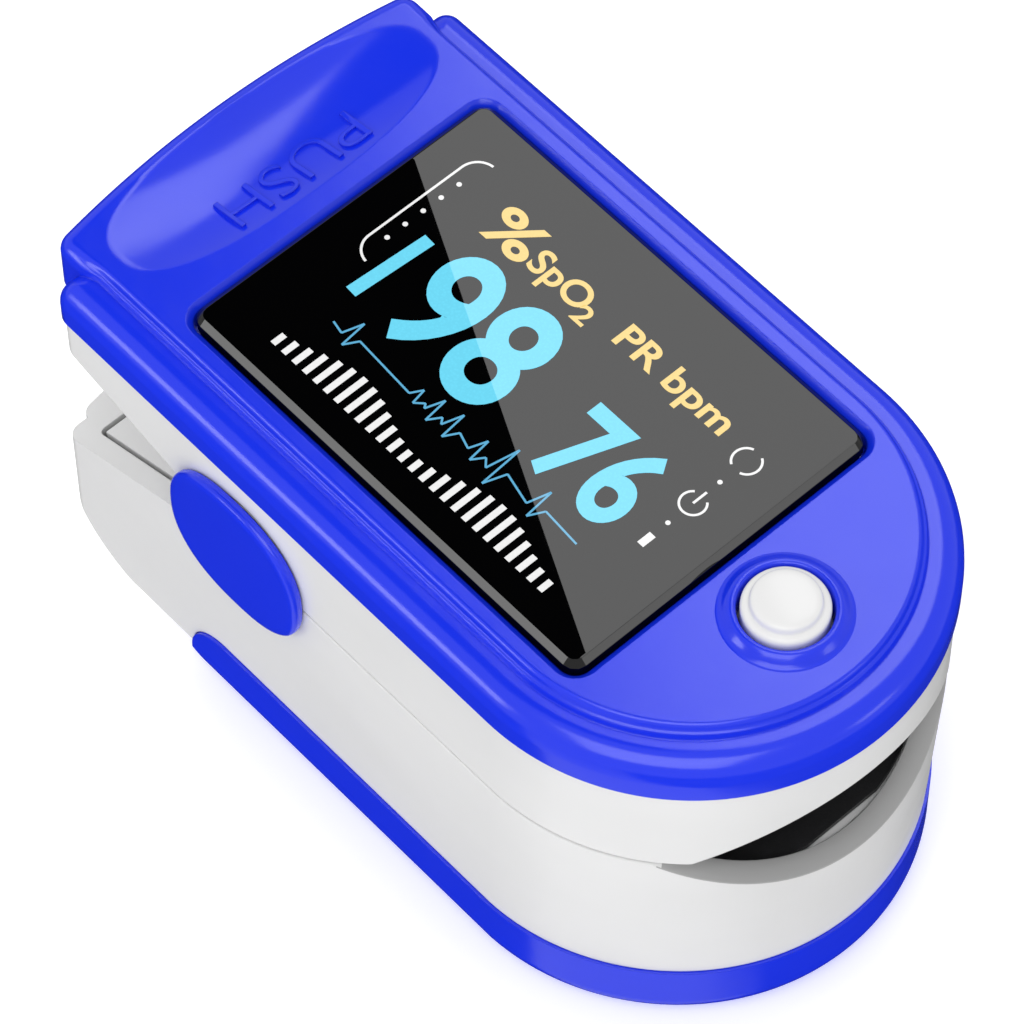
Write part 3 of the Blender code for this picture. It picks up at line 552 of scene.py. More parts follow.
def solder_mask(name, colour):
    """Circuit board: green lacquer over copper tracks and bare tinned pads."""
    recipe = Recipe(name, Specular_IOR_Level=0.5)
    track = recipe.node("ShaderNodeTexBrick", {"offset": 0.5},
                        {"Vector": recipe.position, "Scale": 260.0, "Mortar Size": 0.04,
                         "Color1": (0, 0, 0, 1), "Color2": (0, 0, 0, 1), "Mortar": (1, 1, 1, 1)}, "Fac")
    pad = recipe.cells(900) < 0.09
    lacquer = recipe.mix(colour, tint(colour, 1.9), track)
    return recipe.finish(
        Base_Color=recipe.mix(lacquer, (0.72, 0.7, 0.64), pad),
        Metallic=pad, Roughness=0.34 - pad * 0.08,
        Normal=recipe.relief(track + pad * 0.5, 0.00003))


def chip_epoxy(name, colour):
    """Moulded chip: matt filled epoxy with fine speckle."""
    recipe = Recipe(name, Specular_IOR_Level=0.4)
    speckle = recipe.noise(7000, 2.0, 0.7)
    return recipe.finish(
        Base_Color=recipe.mix(colour, tint(colour, 3.0), recipe.ramp(speckle, (0.6, 0.0), (0.75, 1.0))),
        Roughness=0.42 + speckle * 0.2, Normal=recipe.relief(speckle, 0.00001))


def clear_lens(name, colour):
    """Cast epoxy lens: slightly warm and cloudy, transmitting."""
    recipe = Recipe(name, Transmission_Weight=0.55, IOR=1.5)
    cloud = recipe.noise(700, 3.0)
    return recipe.finish(Base_Color=recipe.mix(colour, tint(colour, 0.85), cloud),
                         Roughness=0.06 + cloud * 0.08, Normal=recipe.relief(cloud, 0.00001))


def cell_sleeve(name, body_colour, band_colour):
    """Shrink sleeve of a cell: dark body, a metallic band at one end, fine wrinkles."""
    recipe = Recipe(name, Specular_IOR_Level=0.5)
    band = recipe.parts(recipe.position)[1] > (HINGE.y - 2 * MM)
    wrinkle = recipe.noise(1500, 3.0, stretch=(1.0, 0.3, 1.0))
    return recipe.finish(Base_Color=recipe.mix(body_colour, band_colour, band),
                         Metallic=band * 0.8, Roughness=0.28 + wrinkle * 0.12,
                         Normal=recipe.relief(wrinkle, 0.00002))


# ---------------------------------------------------------------- settings

class ClipMeterCase(bpy.types.PropertyGroup):
    """Sizes of the moulded case."""

    rim_round: FloatProperty(name="Rim round", description="Radius of the cover's outer top edge",
                             default=1.65 * MM, unit="LENGTH")
    dish_depth: FloatProperty(name="Dish depth", description="Depth of the thumb dish",
                              default=1.15 * MM, unit="LENGTH")
    letter_rise: FloatProperty(name="Letter rise", description="Height of the raised word in the dish",
                               default=0.22 * MM, unit="LENGTH")
    word: StringProperty(name="Tab word", description="Raised word on the thumb tab", default="PUSH")
    lip_chamfer: FloatProperty(name="Lip chamfer", description="Width of the bevel inside the lip",
                               default=0.85 * MM, unit="LENGTH")
    tray_round: FloatProperty(name="Tray round", description="Radius of the battery cover's lower edge",
                              default=2.0 * MM, unit="LENGTH")
    grip_ridges: IntProperty(name="Grip ridges", description="Ridges in the battery cover's grip",
                             default=7, min=1)
    spring_turns: IntProperty(name="Spring turns", description="Turns of the hinge spring",
                              default=8, min=2)
    pad_ribs: IntProperty(name="Pad ribs", description="Cross ribs along each finger pad",
                          default=17, min=0)


class ClipMeterDisplay(bpy.types.PropertyGroup):
    """Sizes and readings of the display."""

    bevel: FloatProperty(name="Slab bevel", description="Bevel round the display slab",
                         default=0.42 * MM, unit="LENGTH")
    saturation: StringProperty(name="Saturation", description="Large reading", default="98")
    rate: StringProperty(name="Rate", description="Small reading", default="76")
    print_rise: FloatProperty(name="Print rise", description="How far the print stands above the slab",
                              default=0.012 * MM, unit="LENGTH")
    show_scale: BoolProperty(name="Show scale", description="Draw the bar scale at the display's side",
                             default=True)


class ClipMeterColours(bpy.types.PropertyGroup):
    """Colours of the finishes."""

    blue: FloatVectorProperty(name="Blue", description="Cover, tray and hinge caps", subtype="COLOR",
                              default=(0.006, 0.030, 0.82), min=0, max=1)
    white: FloatVectorProperty(name="White", description="Shells, liners and button", subtype="COLOR",
                               default=(0.77, 0.77, 0.77), min=0, max=1)
    rubber: FloatVectorProperty(name="Rubber", description="Finger pads", subtype="COLOR",
                                default=(0.006, 0.006, 0.007), min=0, max=1)
    digits: FloatVectorProperty(name="Digits", description="Lit digits", subtype="COLOR",
                                default=(0.17, 0.73, 0.96), min=0, max=1)
    units: FloatVectorProperty(name="Units", description="Printed units", subtype="COLOR",
                               default=(0.93, 0.68, 0.22), min=0, max=1)
    icons: FloatVectorProperty(name="Icons", description="White icons and scale", subtype="COLOR",
                               default=(0.93, 0.93, 0.93), min=0, max=1)
    trace: FloatVectorProperty(name="Trace", description="Pulse trace", subtype="COLOR",
                               default=(0.13, 0.46, 0.72), min=0, max=1)


class ClipMeterStudio(bpy.types.PropertyGroup):
    """Camera, floor and lights."""

    azimuth: FloatProperty(name="Azimuth", description="Camera bearing from the mouth to the left side",
                           default=math.radians(42.413), subtype="ANGLE")
    elevation: FloatProperty(name="Elevation", description="Camera height above level",
                             default=math.radians(57.255), subtype="ANGLE")
    distance: FloatProperty(name="Distance", description="Camera to its target", default=0.34037,
                            unit="LENGTH")
    lens: FloatProperty(name="Lens", description="Focal length on a 36 mm sensor, in millimetres",
                        default=195.07)
    floor: FloatVectorProperty(name="Floor", description="Floor colour", subtype="COLOR",
                               default=(0.96, 0.96, 0.96), min=0, max=1)
    sky: FloatProperty(name="Sky", description="Brightness of the surrounding light", default=0.62)
    key: FloatProperty(name="Key", description="Brightness of the main soft light", default=2.2)
    card: FloatProperty(name="Card", description="Brightness of the card that the display mirrors",
                        default=2.2)


def make_finishes():
    """All shared materials, made once and kept by name."""
    colours = bpy.context.scene.clip_meter_colours
    recipes = {
        "blue_plastic": lambda: moulded_plastic("blue_plastic", colours.blue, 0.17, 0.6),
        "white_plastic": lambda: moulded_plastic("white_plastic", colours.white, 0.25, 0.35),
        # The lip's white darkened to 0.52 is painted shade for the bevel under the upper shell; its
        # rougher, weaker gloss is its own.
        "lip_painted_shade": lambda: moulded_plastic("lip_painted_shade", tint(colours.white, 0.52), 0.4, 0.25),
        "button_plastic": lambda: moulded_plastic("button_plastic", tint(colours.white, 1.08),
                                                  0.22, 0.4),
        "slab_black": lambda: window_glass("slab_black", (0.0006, 0.0006, 0.0007)),
        "lit_digits": lambda: lit_print("lit_digits", colours.digits, 1.0),
        "lit_units": lambda: lit_print("lit_units", colours.units, 1.0),
        "lit_icons": lambda: lit_print("lit_icons", colours.icons, 1.0),
        "lit_trace": lambda: lit_print("lit_trace", colours.trace, 1.0),
        "pad_silicone": lambda: silicone("pad_silicone", colours.rubber),
        "drawn_steel": lambda: brushed_metal("drawn_steel", (0.62, 0.62, 0.64), 0.18),
        "contact_nickel": lambda: brushed_metal("contact_nickel", (0.7, 0.66, 0.58), 0.24),
        "board_lacquer": lambda: solder_mask("board_lacquer", (0.012, 0.12, 0.04)),
        "chip_body": lambda: chip_epoxy("chip_body", (0.012, 0.012, 0.013)),
        "panel_glass": lambda: window_glass("panel_glass", (0.01, 0.013, 0.02)),
        "lens_epoxy": lambda: clear_lens("lens_epoxy", (0.85, 0.74, 0.7)),
        "cell_sleeve": lambda: cell_sleeve("cell_sleeve", (0.02, 0.022, 0.026), (0.55, 0.3, 0.12)),
    }
    for name, make in recipes.items():
        if name not in bpy.data.materials:
            make()


def finish(name):
    """A shared material by name."""
    make_finishes()
    return bpy.data.materials[name]


# ---------------------------------------------------------------- top cover

DISH_CENTRE = (0.15 * MM, TAB_REAR - 5.05 * MM)
DISH_HALF = (12.5 * MM, 4.2 * MM)
DISH_POWER = 2.5
WINDOW_CORNER = 1.0 * MM


def dish_drop(x, y, depth):
    """Depth of the thumb dish: depth (1 - rho^2), rho the superellipse radius of (x, y), 1 at the rim."""
    u = np.abs((x - DISH_CENTRE[0]) / DISH_HALF[0])
    v = np.abs((y - DISH_CENTRE[1]) / DISH_HALF[1])
    rho = (u ** DISH_POWER + v ** DISH_POWER) ** (1 / DISH_POWER)
    return depth * (1 - rho ** 2)


def dish_cutter(depth):
    """Bowl-shaped solid that hollows the thumb dish."""
    rho = np.array([0.001, *np.linspace(0.06, 1.0, 18), 1.04, 1.04])
    drop_to = PLATEAU - depth * (1 - rho ** 2)
    drop_to[-1] = PLATEAU + 3 * MM
    rim = oval_loop((0, 0), DISH_HALF, DISH_POWER, 160)
    loops = rho[:, None, None] * rim + np.asarray(DISH_CENTRE)
    return loft("dish_cutter", stack(loops, drop_to))


def rim_body(rounding):
    """Lower tier of the cover: case plan, vertical band, round outer edge, flat rim."""
    profile = [(0.14 * MM, BAND_LOW), (0.04 * MM, BAND_LOW + 0.03 * MM), (0.0, BAND_LOW + 0.14 * MM)]
    profile += arc((rounding, RIM - rounding), rounding, 180, 90, 10).tolist()
    return loft("rim_body", plan_rings(profile, HALF, SHOULDER, CORNER))


def plateau_body():
    """Upper tier and thumb tab. Beside the rim the wall climbs in two soft steps; round the tab it is
    vertical with one round top edge, and the two profiles blend just in front of the shoulders."""
    corner, foot_inset, squeeze, turn_radius = 1.25 * MM, 0.35 * MM, 0.72, 0.98 * MM
    steps = np.array([(0.14, -3.15), (0.04, -3.12), (0.0, -3.01), (0.0, -0.2), (0.0, 0.0),
                      (0.05, 0.05), (0.11, 0.16), (0.17, 0.34), (0.22, 0.42), (0.32, 0.46),
                      (0.40, 0.48), (0.47, 0.54), (0.56, 0.70), (0.68, 0.84), (0.82, 0.92),
                      (0.98, 0.95)]) * MM
    wall = steps[:4].copy()
    steps[:, 0] = foot_inset + squeeze * steps[:, 0]
    turn = arc((turn_radius, -0.03 * MM), turn_radius, 180, 90, len(steps) - 5)
    tiers = []
    for rows in (steps, np.vstack([wall, turn])):
        loops = [case_loop(TAB_HALF - inset, TAB_REAR - inset, corner - inset, TAB_BULGE)
                 for inset in rows[:, 0]]
        tiers.append(stack(loops, RIM + rows[:, 1]))
    beside_rim, round_tab = tiers
    share = smooth_step(beside_rim[..., 1:2], SHOULDER - 1.6 * MM, SHOULDER - 0.4 * MM)
    return loft("plateau_body", beside_rim * (1 - share) + round_tab * share)


def window_recess():
    """Seat of the display slab, its upper edge chamfered outwards."""
    rows = [(0.2, -1.6), (0.2, -0.42), (0.24, -0.34), (0.58, -0.05), (0.66, 0.03), (0.75, 0.6)]
    loops = [box_loop(WINDOW_CENTRE, (WINDOW_HALF.x + grow * MM, WINDOW_HALF.y + grow * MM),
                      WINDOW_CORNER + grow * MM, 12) for grow, _ in rows]
    return loft("window_recess", stack(loops, [PLATEAU + rise * MM for _, rise in rows]))


def flat_text(body, name, thickness, weight=0.0):
    """Lettering as a closed flat prism, its lowest left corner at the origin, and its size."""
    words = bpy.data.curves.new(name, "FONT")
    words.body = body
    words.size = 1.0
    words.extrude = thickness / 2
    words.offset = weight
    words.resolution_u = 8
    holder = bpy.data.objects.new(name, words)
    bpy.context.scene.collection.objects.link(holder)
    graph = bpy.context.evaluated_depsgraph_get()
    mesh = bpy.data.meshes.new_from_object(holder.evaluated_get(graph))
    drop(holder)
    weld(mesh)
    points = np.array([vertex.co for vertex in mesh.vertices])
    low, high = points.min(0), points.max(0)
    points -= low
    return mesh, points, high - low


def put_points(mesh, points):
    """Write new vertex places into a mesh."""
    mesh.vertices.foreach_set("co", np.asarray(points, np.float32).ravel())
    mesh.update()


def link_mesh(name, mesh):
    """Link a mesh as an object at the origin."""
    piece = bpy.data.objects.new(name, mesh)
    bpy.context.scene.collection.objects.link(piece)
    return piece


def tab_word(settings):
    """Raised word in the dish, read from the rear: along -X, tops towards -Y, its face along the dish."""
    width, height = 10.5 * MM, 2.75 * MM
    start, foot = 5.4 * MM, TAB_REAR - 5.4 * MM
    mesh, points, size = flat_text(settings.word, "tab_word", 1.0, -0.012)
    x = start - points[:, 0] / size[0] * width
    y = foot - points[:, 1] / size[1] * height
    surface = PLATEAU - dish_drop(x, y, settings.dish_depth)
    top = points[:, 2] > 0.5
    z = surface + np.where(top, 0.9 * settings.letter_rise, -0.25 * MM)
    put_points(mesh, np.column_stack([x, y, z]))
    return link_mesh("tab_word", mesh)


class CLIPMETER_OT_top_cover(bpy.types.Operator):
    """Blue cover with rim, plateau, thumb dish and button collar"""

    bl_idname = "clip_meter.top_cover"
    bl_label = "Top Cover"

    def execute(self, context):
        sizes = context.scene.clip_meter_case
        cover = rim_body(sizes.rim_round)
        cover.name = "cover_skin"
        inside = 20 * MM
        cavity_loop = case_loop(HALF - COVER_WALL, SHOULDER - COVER_WALL, 0.4 * MM)
        cavity = plan_prism("cavity", cavity_loop, inside, CEILING)
        tab_room = plan_prism("tab_room", box_loop((0, 21.4 * MM), (12.5 * MM, 6 * MM), 0.6 * MM),
                              inside, CEILING - 0.4 * MM)
        opening = plan_prism("opening", box_loop(WINDOW_CENTRE, (9.6 * MM, 14 * MM), 1 * MM),
                             inside, 33 * MM)
        hole = bar("hole", (BUTTON.x, BUTTON.y, 30 * MM), 3.0 * MM, 14 * MM, "Z")
        shape(cover, join=[plateau_body()],
              cut=[cavity, tab_room, window_recess(), opening, dish_cutter(sizes.dish_depth), hole])
        even_shading(cover)
        place(cover, finish("blue_plastic"), "upper_half", "blue_gloss", "top_cover")
        rows = [(4.15, -0.02), (3.97, 0.02), (3.82, 0.09), (3.66, 0.24), (3.45, 0.46), (3.3, 0.57),
                (3.17, 0.62), (3.03, 0.61), (2.92, 0.54), (2.87, 0.4), (2.87, -1.8), (3.2, -1.8),
                (3.2, -0.4), (4.0, -0.2)]
        profile = np.array(rows) * MM + (0, PLATEAU)
        collar = lathe("button_collar", profile, BUTTON, closed=True)
        even_shading(collar, 50)
        place(collar, finish("blue_plastic"), "upper_half", "blue_gloss")
        word = tab_word(sizes)
        word.data.shade_flat()
        place(word, finish("blue_plastic"), "upper_half", "blue_gloss")
        return {"FINISHED"}


# ---------------------------------------------------------------- display and button

class CLIPMETER_OT_display(bpy.types.Operator):
    """Glossy black slab over the display, bevelled all round"""

    bl_idname = "clip_meter.display"
    bl_label = "Display Slab"

    def execute(self, context):
        bevel = context.scene.clip_meter_display.bevel
        rows = [(0.1 * MM, WINDOW_LOW.z), (0.0, WINDOW_LOW.z + 0.1 * MM), (0.0, WINDOW_TOP - bevel),
                (0.03 * MM, WINDOW_TOP - bevel + 0.05 * MM),
                (bevel - 0.03 * MM, WINDOW_TOP - 0.02 * MM), (bevel + 0.06 * MM, WINDOW_TOP)]
        loops = [box_loop(WINDOW_CENTRE, (WINDOW_HALF.x - inset, WINDOW_HALF.y - inset),
                          WINDOW_CORNER - inset, 3) for inset, _ in rows]
        slab = loft("display_slab", stack(loops, [height for _, height in rows]))
        even_shading(slab, 24)
        place(slab, finish("slab_black"), "upper_half", "window_black", "display_window")
        return {"FINISHED"}


def readout_text(body, name, left, right, low, high, weight):
    """Lettering on the slab, read along -Y with tops towards +X, fitted between four limits in mm."""
    mesh, points, size = flat_text(body, name, 1.0, weight)
    rise = print_rise()
    x = (low + points[:, 1] / size[1] * (high - low)) * MM
    y = (left + points[:, 0] / size[0] * (right - left)) * MM
    z = WINDOW_TOP + np.where(points[:, 2] > 0.5, rise, -0.05 * MM)
    put_points(mesh, np.column_stack([x, y, z]))
    return link_mesh(name, mesh)


def print_rise():
    """How far the print stands above the slab."""
    return bpy.context.scene.clip_meter_display.print_rise


def ribbon(name, path, width):
    """Flat line of one width along a path (K, 2) on the slab, as a closed strip."""
    path = np.asarray(path)
    along = np.gradient(path, axis=0)
    along /= np.linalg.norm(along, axis=1, keepdims=True)
    side = np.column_stack([-along[:, 1], along[:, 0]]) * width / 2
    low, high = WINDOW_TOP - 0.05 * MM, WINDOW_TOP + print_rise()
    corners = [np.column_stack([path + side, np.full(len(path), low)]),
               np.column_stack([path - side, np.full(len(path), low)]),
               np.column_stack([path - side, np.full(len(path), high)]),
               np.column_stack([path + side, np.full(len(path), high)])]
    return loft(name, np.stack(corners, 1))


def dot(name, centre, radius):
    """Round printed dot."""
    circle = arc(centre, radius, 0, 360, 20)[:-1]
    return plan_prism(name, circle, WINDOW_TOP - 0.05 * MM, WINDOW_TOP + print_rise())


def polyline(corners, step=0.02 * MM):
    """Points close to each corner of a broken line, so a ribbon along it keeps its width."""
    corners = np.asarray(corners) * MM
    parts = []
    for first, last in zip(corners[:-1], corners[1:]):
        reach = np.linalg.norm(last - first)
        share = np.array([step / reach, 1 - step / reach])[:, None]
        parts.append(first * (1 - share) + last * share)
    return np.vstack(parts)


class CLIPMETER_OT_readout(bpy.types.Operator):
    """Lit digits, units, pulse trace, icons and bar scale on the display"""

    bl_idname = "clip_meter.readout"
    bl_label = "Readout"

    def execute(self, context):
        display = context.scene.clip_meter_display
        digits = [readout_text(display.saturation, "digits_large", 10.2, 0.8, -4.4, 3.95, 0.02),
                  readout_text(display.rate, "digits_small", -3.3, -10.0, -4.4, 2.0, 0.02),
                  ribbon("digit_one", polyline([(-3.75, 12.5), (2.3, 12.15)]), 0.9 * MM)]
        self.show(merge("readout_digits", digits), "lit_digits")
        units = [readout_text("%", "unit_percent", 10.8, 7.2, 4.8, 7.8, 0.02),
                 readout_text("SpO", "unit_saturation", 7.0, 2.3, 4.6, 7.05, 0.02),
                 readout_text("2", "unit_index", 2.5, 1.4, 4.6, 6.0, 0.02),
                 readout_text("PR bpm", "unit_rate", -0.5, -9.7, 4.7, 7.1, 0.02)]
        self.show(merge("readout_units", units), "lit_units")
        self.show(self.trace(), "lit_trace")
        self.show(merge("readout_icons", self.icons()), "lit_icons")
        if display.show_scale:
            self.show(merge("readout_scale", self.scale()), "lit_icons")
        return {"FINISHED"}

    def show(self, piece, material):
        """Finish one printed layer."""
        piece.data.shade_flat()
        place(piece, finish(material), "upper_half", "window_black")

    def trace(self):
        """Pulse trace: a base line with short beats, each a dip, a tall peak and a dip."""
        base = -5.9
        corners = [(base, 11.6)]
        beats = ((10.2, 2.0), (4.3, 1.1), (2.9, 1.8), (1.4, 2.0), (-0.9, 1.7), (-2.6, 3.2), (-6.0, 2.2))
        for y, height in beats:
            corners += [(base - 0.1 * height, y + 0.45), (base + 0.62 * height, y),
                        (base - 0.38 * height, y - 0.2), (base + 0.1 * height, y - 0.75)]
        corners += [(base, -9.6)]
        return ribbon("readout_trace", polyline(corners), 0.13 * MM)

    def icons(self):
        """Bracket with five dots, turning arrows, power sign, two dots and a battery."""
        hook = 1.4 * MM
        bracket = np.vstack([arc((7.3 * MM, 13.45 * MM), hook, 5, 90, 12),
                             arc((-0.2 * MM, 13.45 * MM), hook, 90, 175, 12)])
        made = [ribbon("bracket", bracket, 0.16 * MM)]
        made += [dot(f"mark_{index}", ((0.5 + 1.45 * index) * MM, 14.0 * MM), 0.17 * MM)
                 for index in range(5)]
        row = -12.07 * MM
        turn = (5.3 * MM, row)
        for start in (20, 200):
            made.append(ribbon("turning_arc", arc(turn, 0.92 * MM, start, start + 130, 20), 0.15 * MM))
        power = (1.0 * MM, row)
        made += [ribbon("power_arc", arc(power, 0.83 * MM, 40, 320, 30), 0.15 * MM),
                 ribbon("power_bar", np.array([(power[0], row), (power[0] + 1.1 * MM, row)]),
                        0.16 * MM),
                 dot("dot_upper", (3.15 * MM, row), 0.16 * MM),
                 dot("dot_lower", (-1.0 * MM, row), 0.16 * MM)]
        made.append(ribbon("battery", np.array([(-3.2 * MM, row), (-2.2 * MM, row)]), 0.5 * MM))
        return made

    def scale(self):
        """Bar scale along the slab's side: bars rising and falling like one pulse."""
        made = []
        foot, wave = -9.6 * MM, 13
        for index in range(2 * wave):
            y = (12.8 - 0.93 * index) * MM
            height = (0.9 + 1.5 * math.sin(math.pi * (index % wave + 0.5) / wave) ** 2) * MM
            made.append(ribbon("bar", np.array([(foot, y), (foot + height, y)]), 0.42 * MM))
        return made


class CLIPMETER_OT_power_button(bpy.types.Operator):
    """Stepped white button in its collar"""

    bl_idname = "clip_meter.power_button"
    bl_label = "Power Button"

    def execute(self, context):
        dome = arc((0, 0), 1.0, 90, 20, 14) * (1.98 * MM, 0.2 * MM) + (0, BUTTON_HIGH.z - 0.2 * MM)
        rows = [(2.0, -0.17), (2.09, -0.26), (2.14, -0.4), (2.16, -0.56), (2.21, -0.64), (2.3, -0.67),
                (2.45, -0.71), (2.58, -0.8), (2.65, -0.94), (2.66, -1.15), (2.66, -3.75), (3.4, -3.8),
                (3.4, -4.4), (0.0, -4.4)]
        profile = np.vstack([dome, np.array(rows) * MM + (0, BUTTON_HIGH.z)])
        profile[0, 0] = 0.0
        button = lathe("button_skin", profile, BUTTON)
        even_shading(button, 50)
        middle = (BUTTON.x, BUTTON.y, BUTTON_LOW.z + 0.6 * MM)
        pocket = bar("pocket", middle, 2.05 * MM, 1.8 * MM, "Z", 48)
        shape(button, cut=[pocket])
        place(button, finish("button_plastic"), "button", "white_gloss", "power_button")
        return {"FINISHED"}


# ---------------------------------------------------------------- white shells

SEAM_HALF = 0.09 * MM
ARCH_RADIUS = 15.9 * MM
ARCH_TOP = 23.45 * MM
LIP_RADIUS = 18.7 * MM
LIP_REACH = 15.7 * MM
LIP_LOW = 14.45 * MM
MOUTH_AXIS_Y = -28 * MM
LOBE_RADIUS = 4.2 * MM
CAP_BORE = 2.3 * MM
NOSE_SETBACK = 0.45 * MM
NOSE_NARROWING = 0.035
HEEL = (19.4 * MM, 9.4 * MM)
HEEL_RADIUS = 7.2 * MM


def set_back(piece):
    """Draw the round front of a lower piece back and in towards its foot: y grows by setback * t * s and
    x shrinks by narrowing * t * s, where t is the share of the way from the widest line to the nose and
    s the share of the way from the seam to the foot."""
    points = np.empty(len(piece.data.vertices) * 3, np.float32)
    piece.data.vertices.foreach_get("co", points)
    points = points.reshape(-1, 3)
    ahead = np.clip((FRONT - points[:, 1]) / HALF, 0, 1)
    below = np.clip((SEAM - points[:, 2]) / (SEAM - 6 * MM), 0, 1)
    points[:, 0] *= 1 - NOSE_NARROWING * ahead * below
    points[:, 1] += NOSE_SETBACK * ahead * below
    put_points(piece.data, points)


def shell_walls(name, low, high, tab_low, tab_high, shoulder, tab_rear):
    """Case plan and tab plan stood up together, with small rounds on the free edges."""
    half = UPPER_HIGH.x
    soft = 0.16 * MM
    profile = [(soft, low), (0.3 * soft, low + 0.3 * soft), (0, low + soft), (0, high - soft),
               (0.3 * soft, high - 0.3 * soft), (soft, high)]
    case = loft(name, plan_rings(profile, half, shoulder - SHELL_INSET, SHELL_CORNER))
    tab = loft("tab_form", plan_rings([(0, tab_low), (0, tab_high)], TAB_HALF - SHELL_INSET, tab_rear,
                                      SHELL_CORNER, TAB_BULGE))
    return case, tab


class CLIPMETER_OT_upper_shell(bpy.types.Operator):
    """White wall of the upper half, arched over the mouth"""

    bl_idname = "clip_meter.upper_shell"
    bl_label = "Upper Shell"

    def execute(self, context):
        high = BAND_LOW - 0.02 * MM
        shell, tab = shell_walls("upper_skin", SEAM + SEAM_HALF, high, 21 * MM, high - 0.03 * MM,
                                 SHOULDER, TAB_REAR - 0.4 * MM)
        below, above, roof = 10 * MM, 30 * MM, 1.3 * MM
        wedge = side_prism("wedge", [(HINGE.y, below), (BEHIND, below), (BEHIND, upper_rear_edge(BEHIND)),
                                     (HINGE.y, upper_rear_edge(HINGE.y))], -ACROSS, ACROSS)
        arch = bar("arch", (0, MOUTH_AXIS_Y, ARCH_TOP - ARCH_RADIUS), ARCH_RADIUS, 24 * MM, "Y", 240)
        lobe_room = bar("lobe_room", HINGE, LOBE_RADIUS + CLEAR, FAR, "X")
        inner = UPPER_HIGH.x - WALL
        front_room = plan_prism("front_room", case_loop(inner, 14 * MM, 0.5 * MM), below, above)
        start, end = 12 * MM, 24.4 * MM
        floor = [(y, upper_rear_edge(y) + roof) for y in (start, end)]
        rear_room = side_prism("rear_room", floor + [(end, above), (start, above)], -inner, inner)
        shape(shell, join=[tab], cut=[wedge, arch, lobe_room, front_room, rear_room])
        even_shading(shell)
        place(shell, finish("white_plastic"), "upper_half", "white_gloss", "upper_shell")
        return {"FINISHED"}


def lip_cutter(chamfer):
    """Trims the mouth's lower lip. The outer edge is the circle z = low + R - sqrt(R^2 - x^2) round the
    front wall, and the cut climbs inwards over the chamfer before it runs level."""
    base = arc((0, FRONT), LOWER_HIGH.x, 182, 358, 160)
    outward = (base - (0, FRONT)) / LOWER_HIGH.x
    x = np.minimum(np.abs(base[:, 0]), LIP_REACH)
    edge = LIP_LOW + LIP_RADIUS - np.sqrt(LIP_RADIUS ** 2 - x ** 2)
    climb, outside, inside = 0.55 * chamfer, -1.5 * MM, 4 * MM
    rows = [(outside, -0.4 * MM), (0.0, 0.0), (0.05 * MM, 0.08 * MM), (chamfer, climb), (inside, climb)]
    columns = [np.column_stack([base - outward * depth, edge + rise]) for depth, rise in rows]
    for depth in (inside, outside):
        columns.append(np.column_stack([base - outward * depth, np.full(len(base), FAR)]))
    return loft("lip_cutter", np.stack(columns, 1))


def heel_outline(radius):
    """Region outside the round lower rear corner, in (y, z)."""
    back, under = HEEL[0] + HEEL_RADIUS + 2 * MM, -1 * MM
    return np.vstack([arc(HEEL, radius, -90, 0, 40), [(back, HEEL[1]), (back, under), (HEEL[0], under)]])


NOSE = (11.66 * MM, 2.2 * MM)
TRAY_BAND = 5.4 * MM


def nose_outline(clearance=0.0):
    """Side view of the tray's band: level top, then a quarter circle down behind it."""
    radius, under = TRAY_BAND - NOSE[1] + clearance, -5 * MM
    return np.vstack([[(-FAR, TRAY_BAND + clearance)], arc(NOSE, radius, 90, 0, 36),
                      [(NOSE[0] + radius, under), (-FAR, under)]])


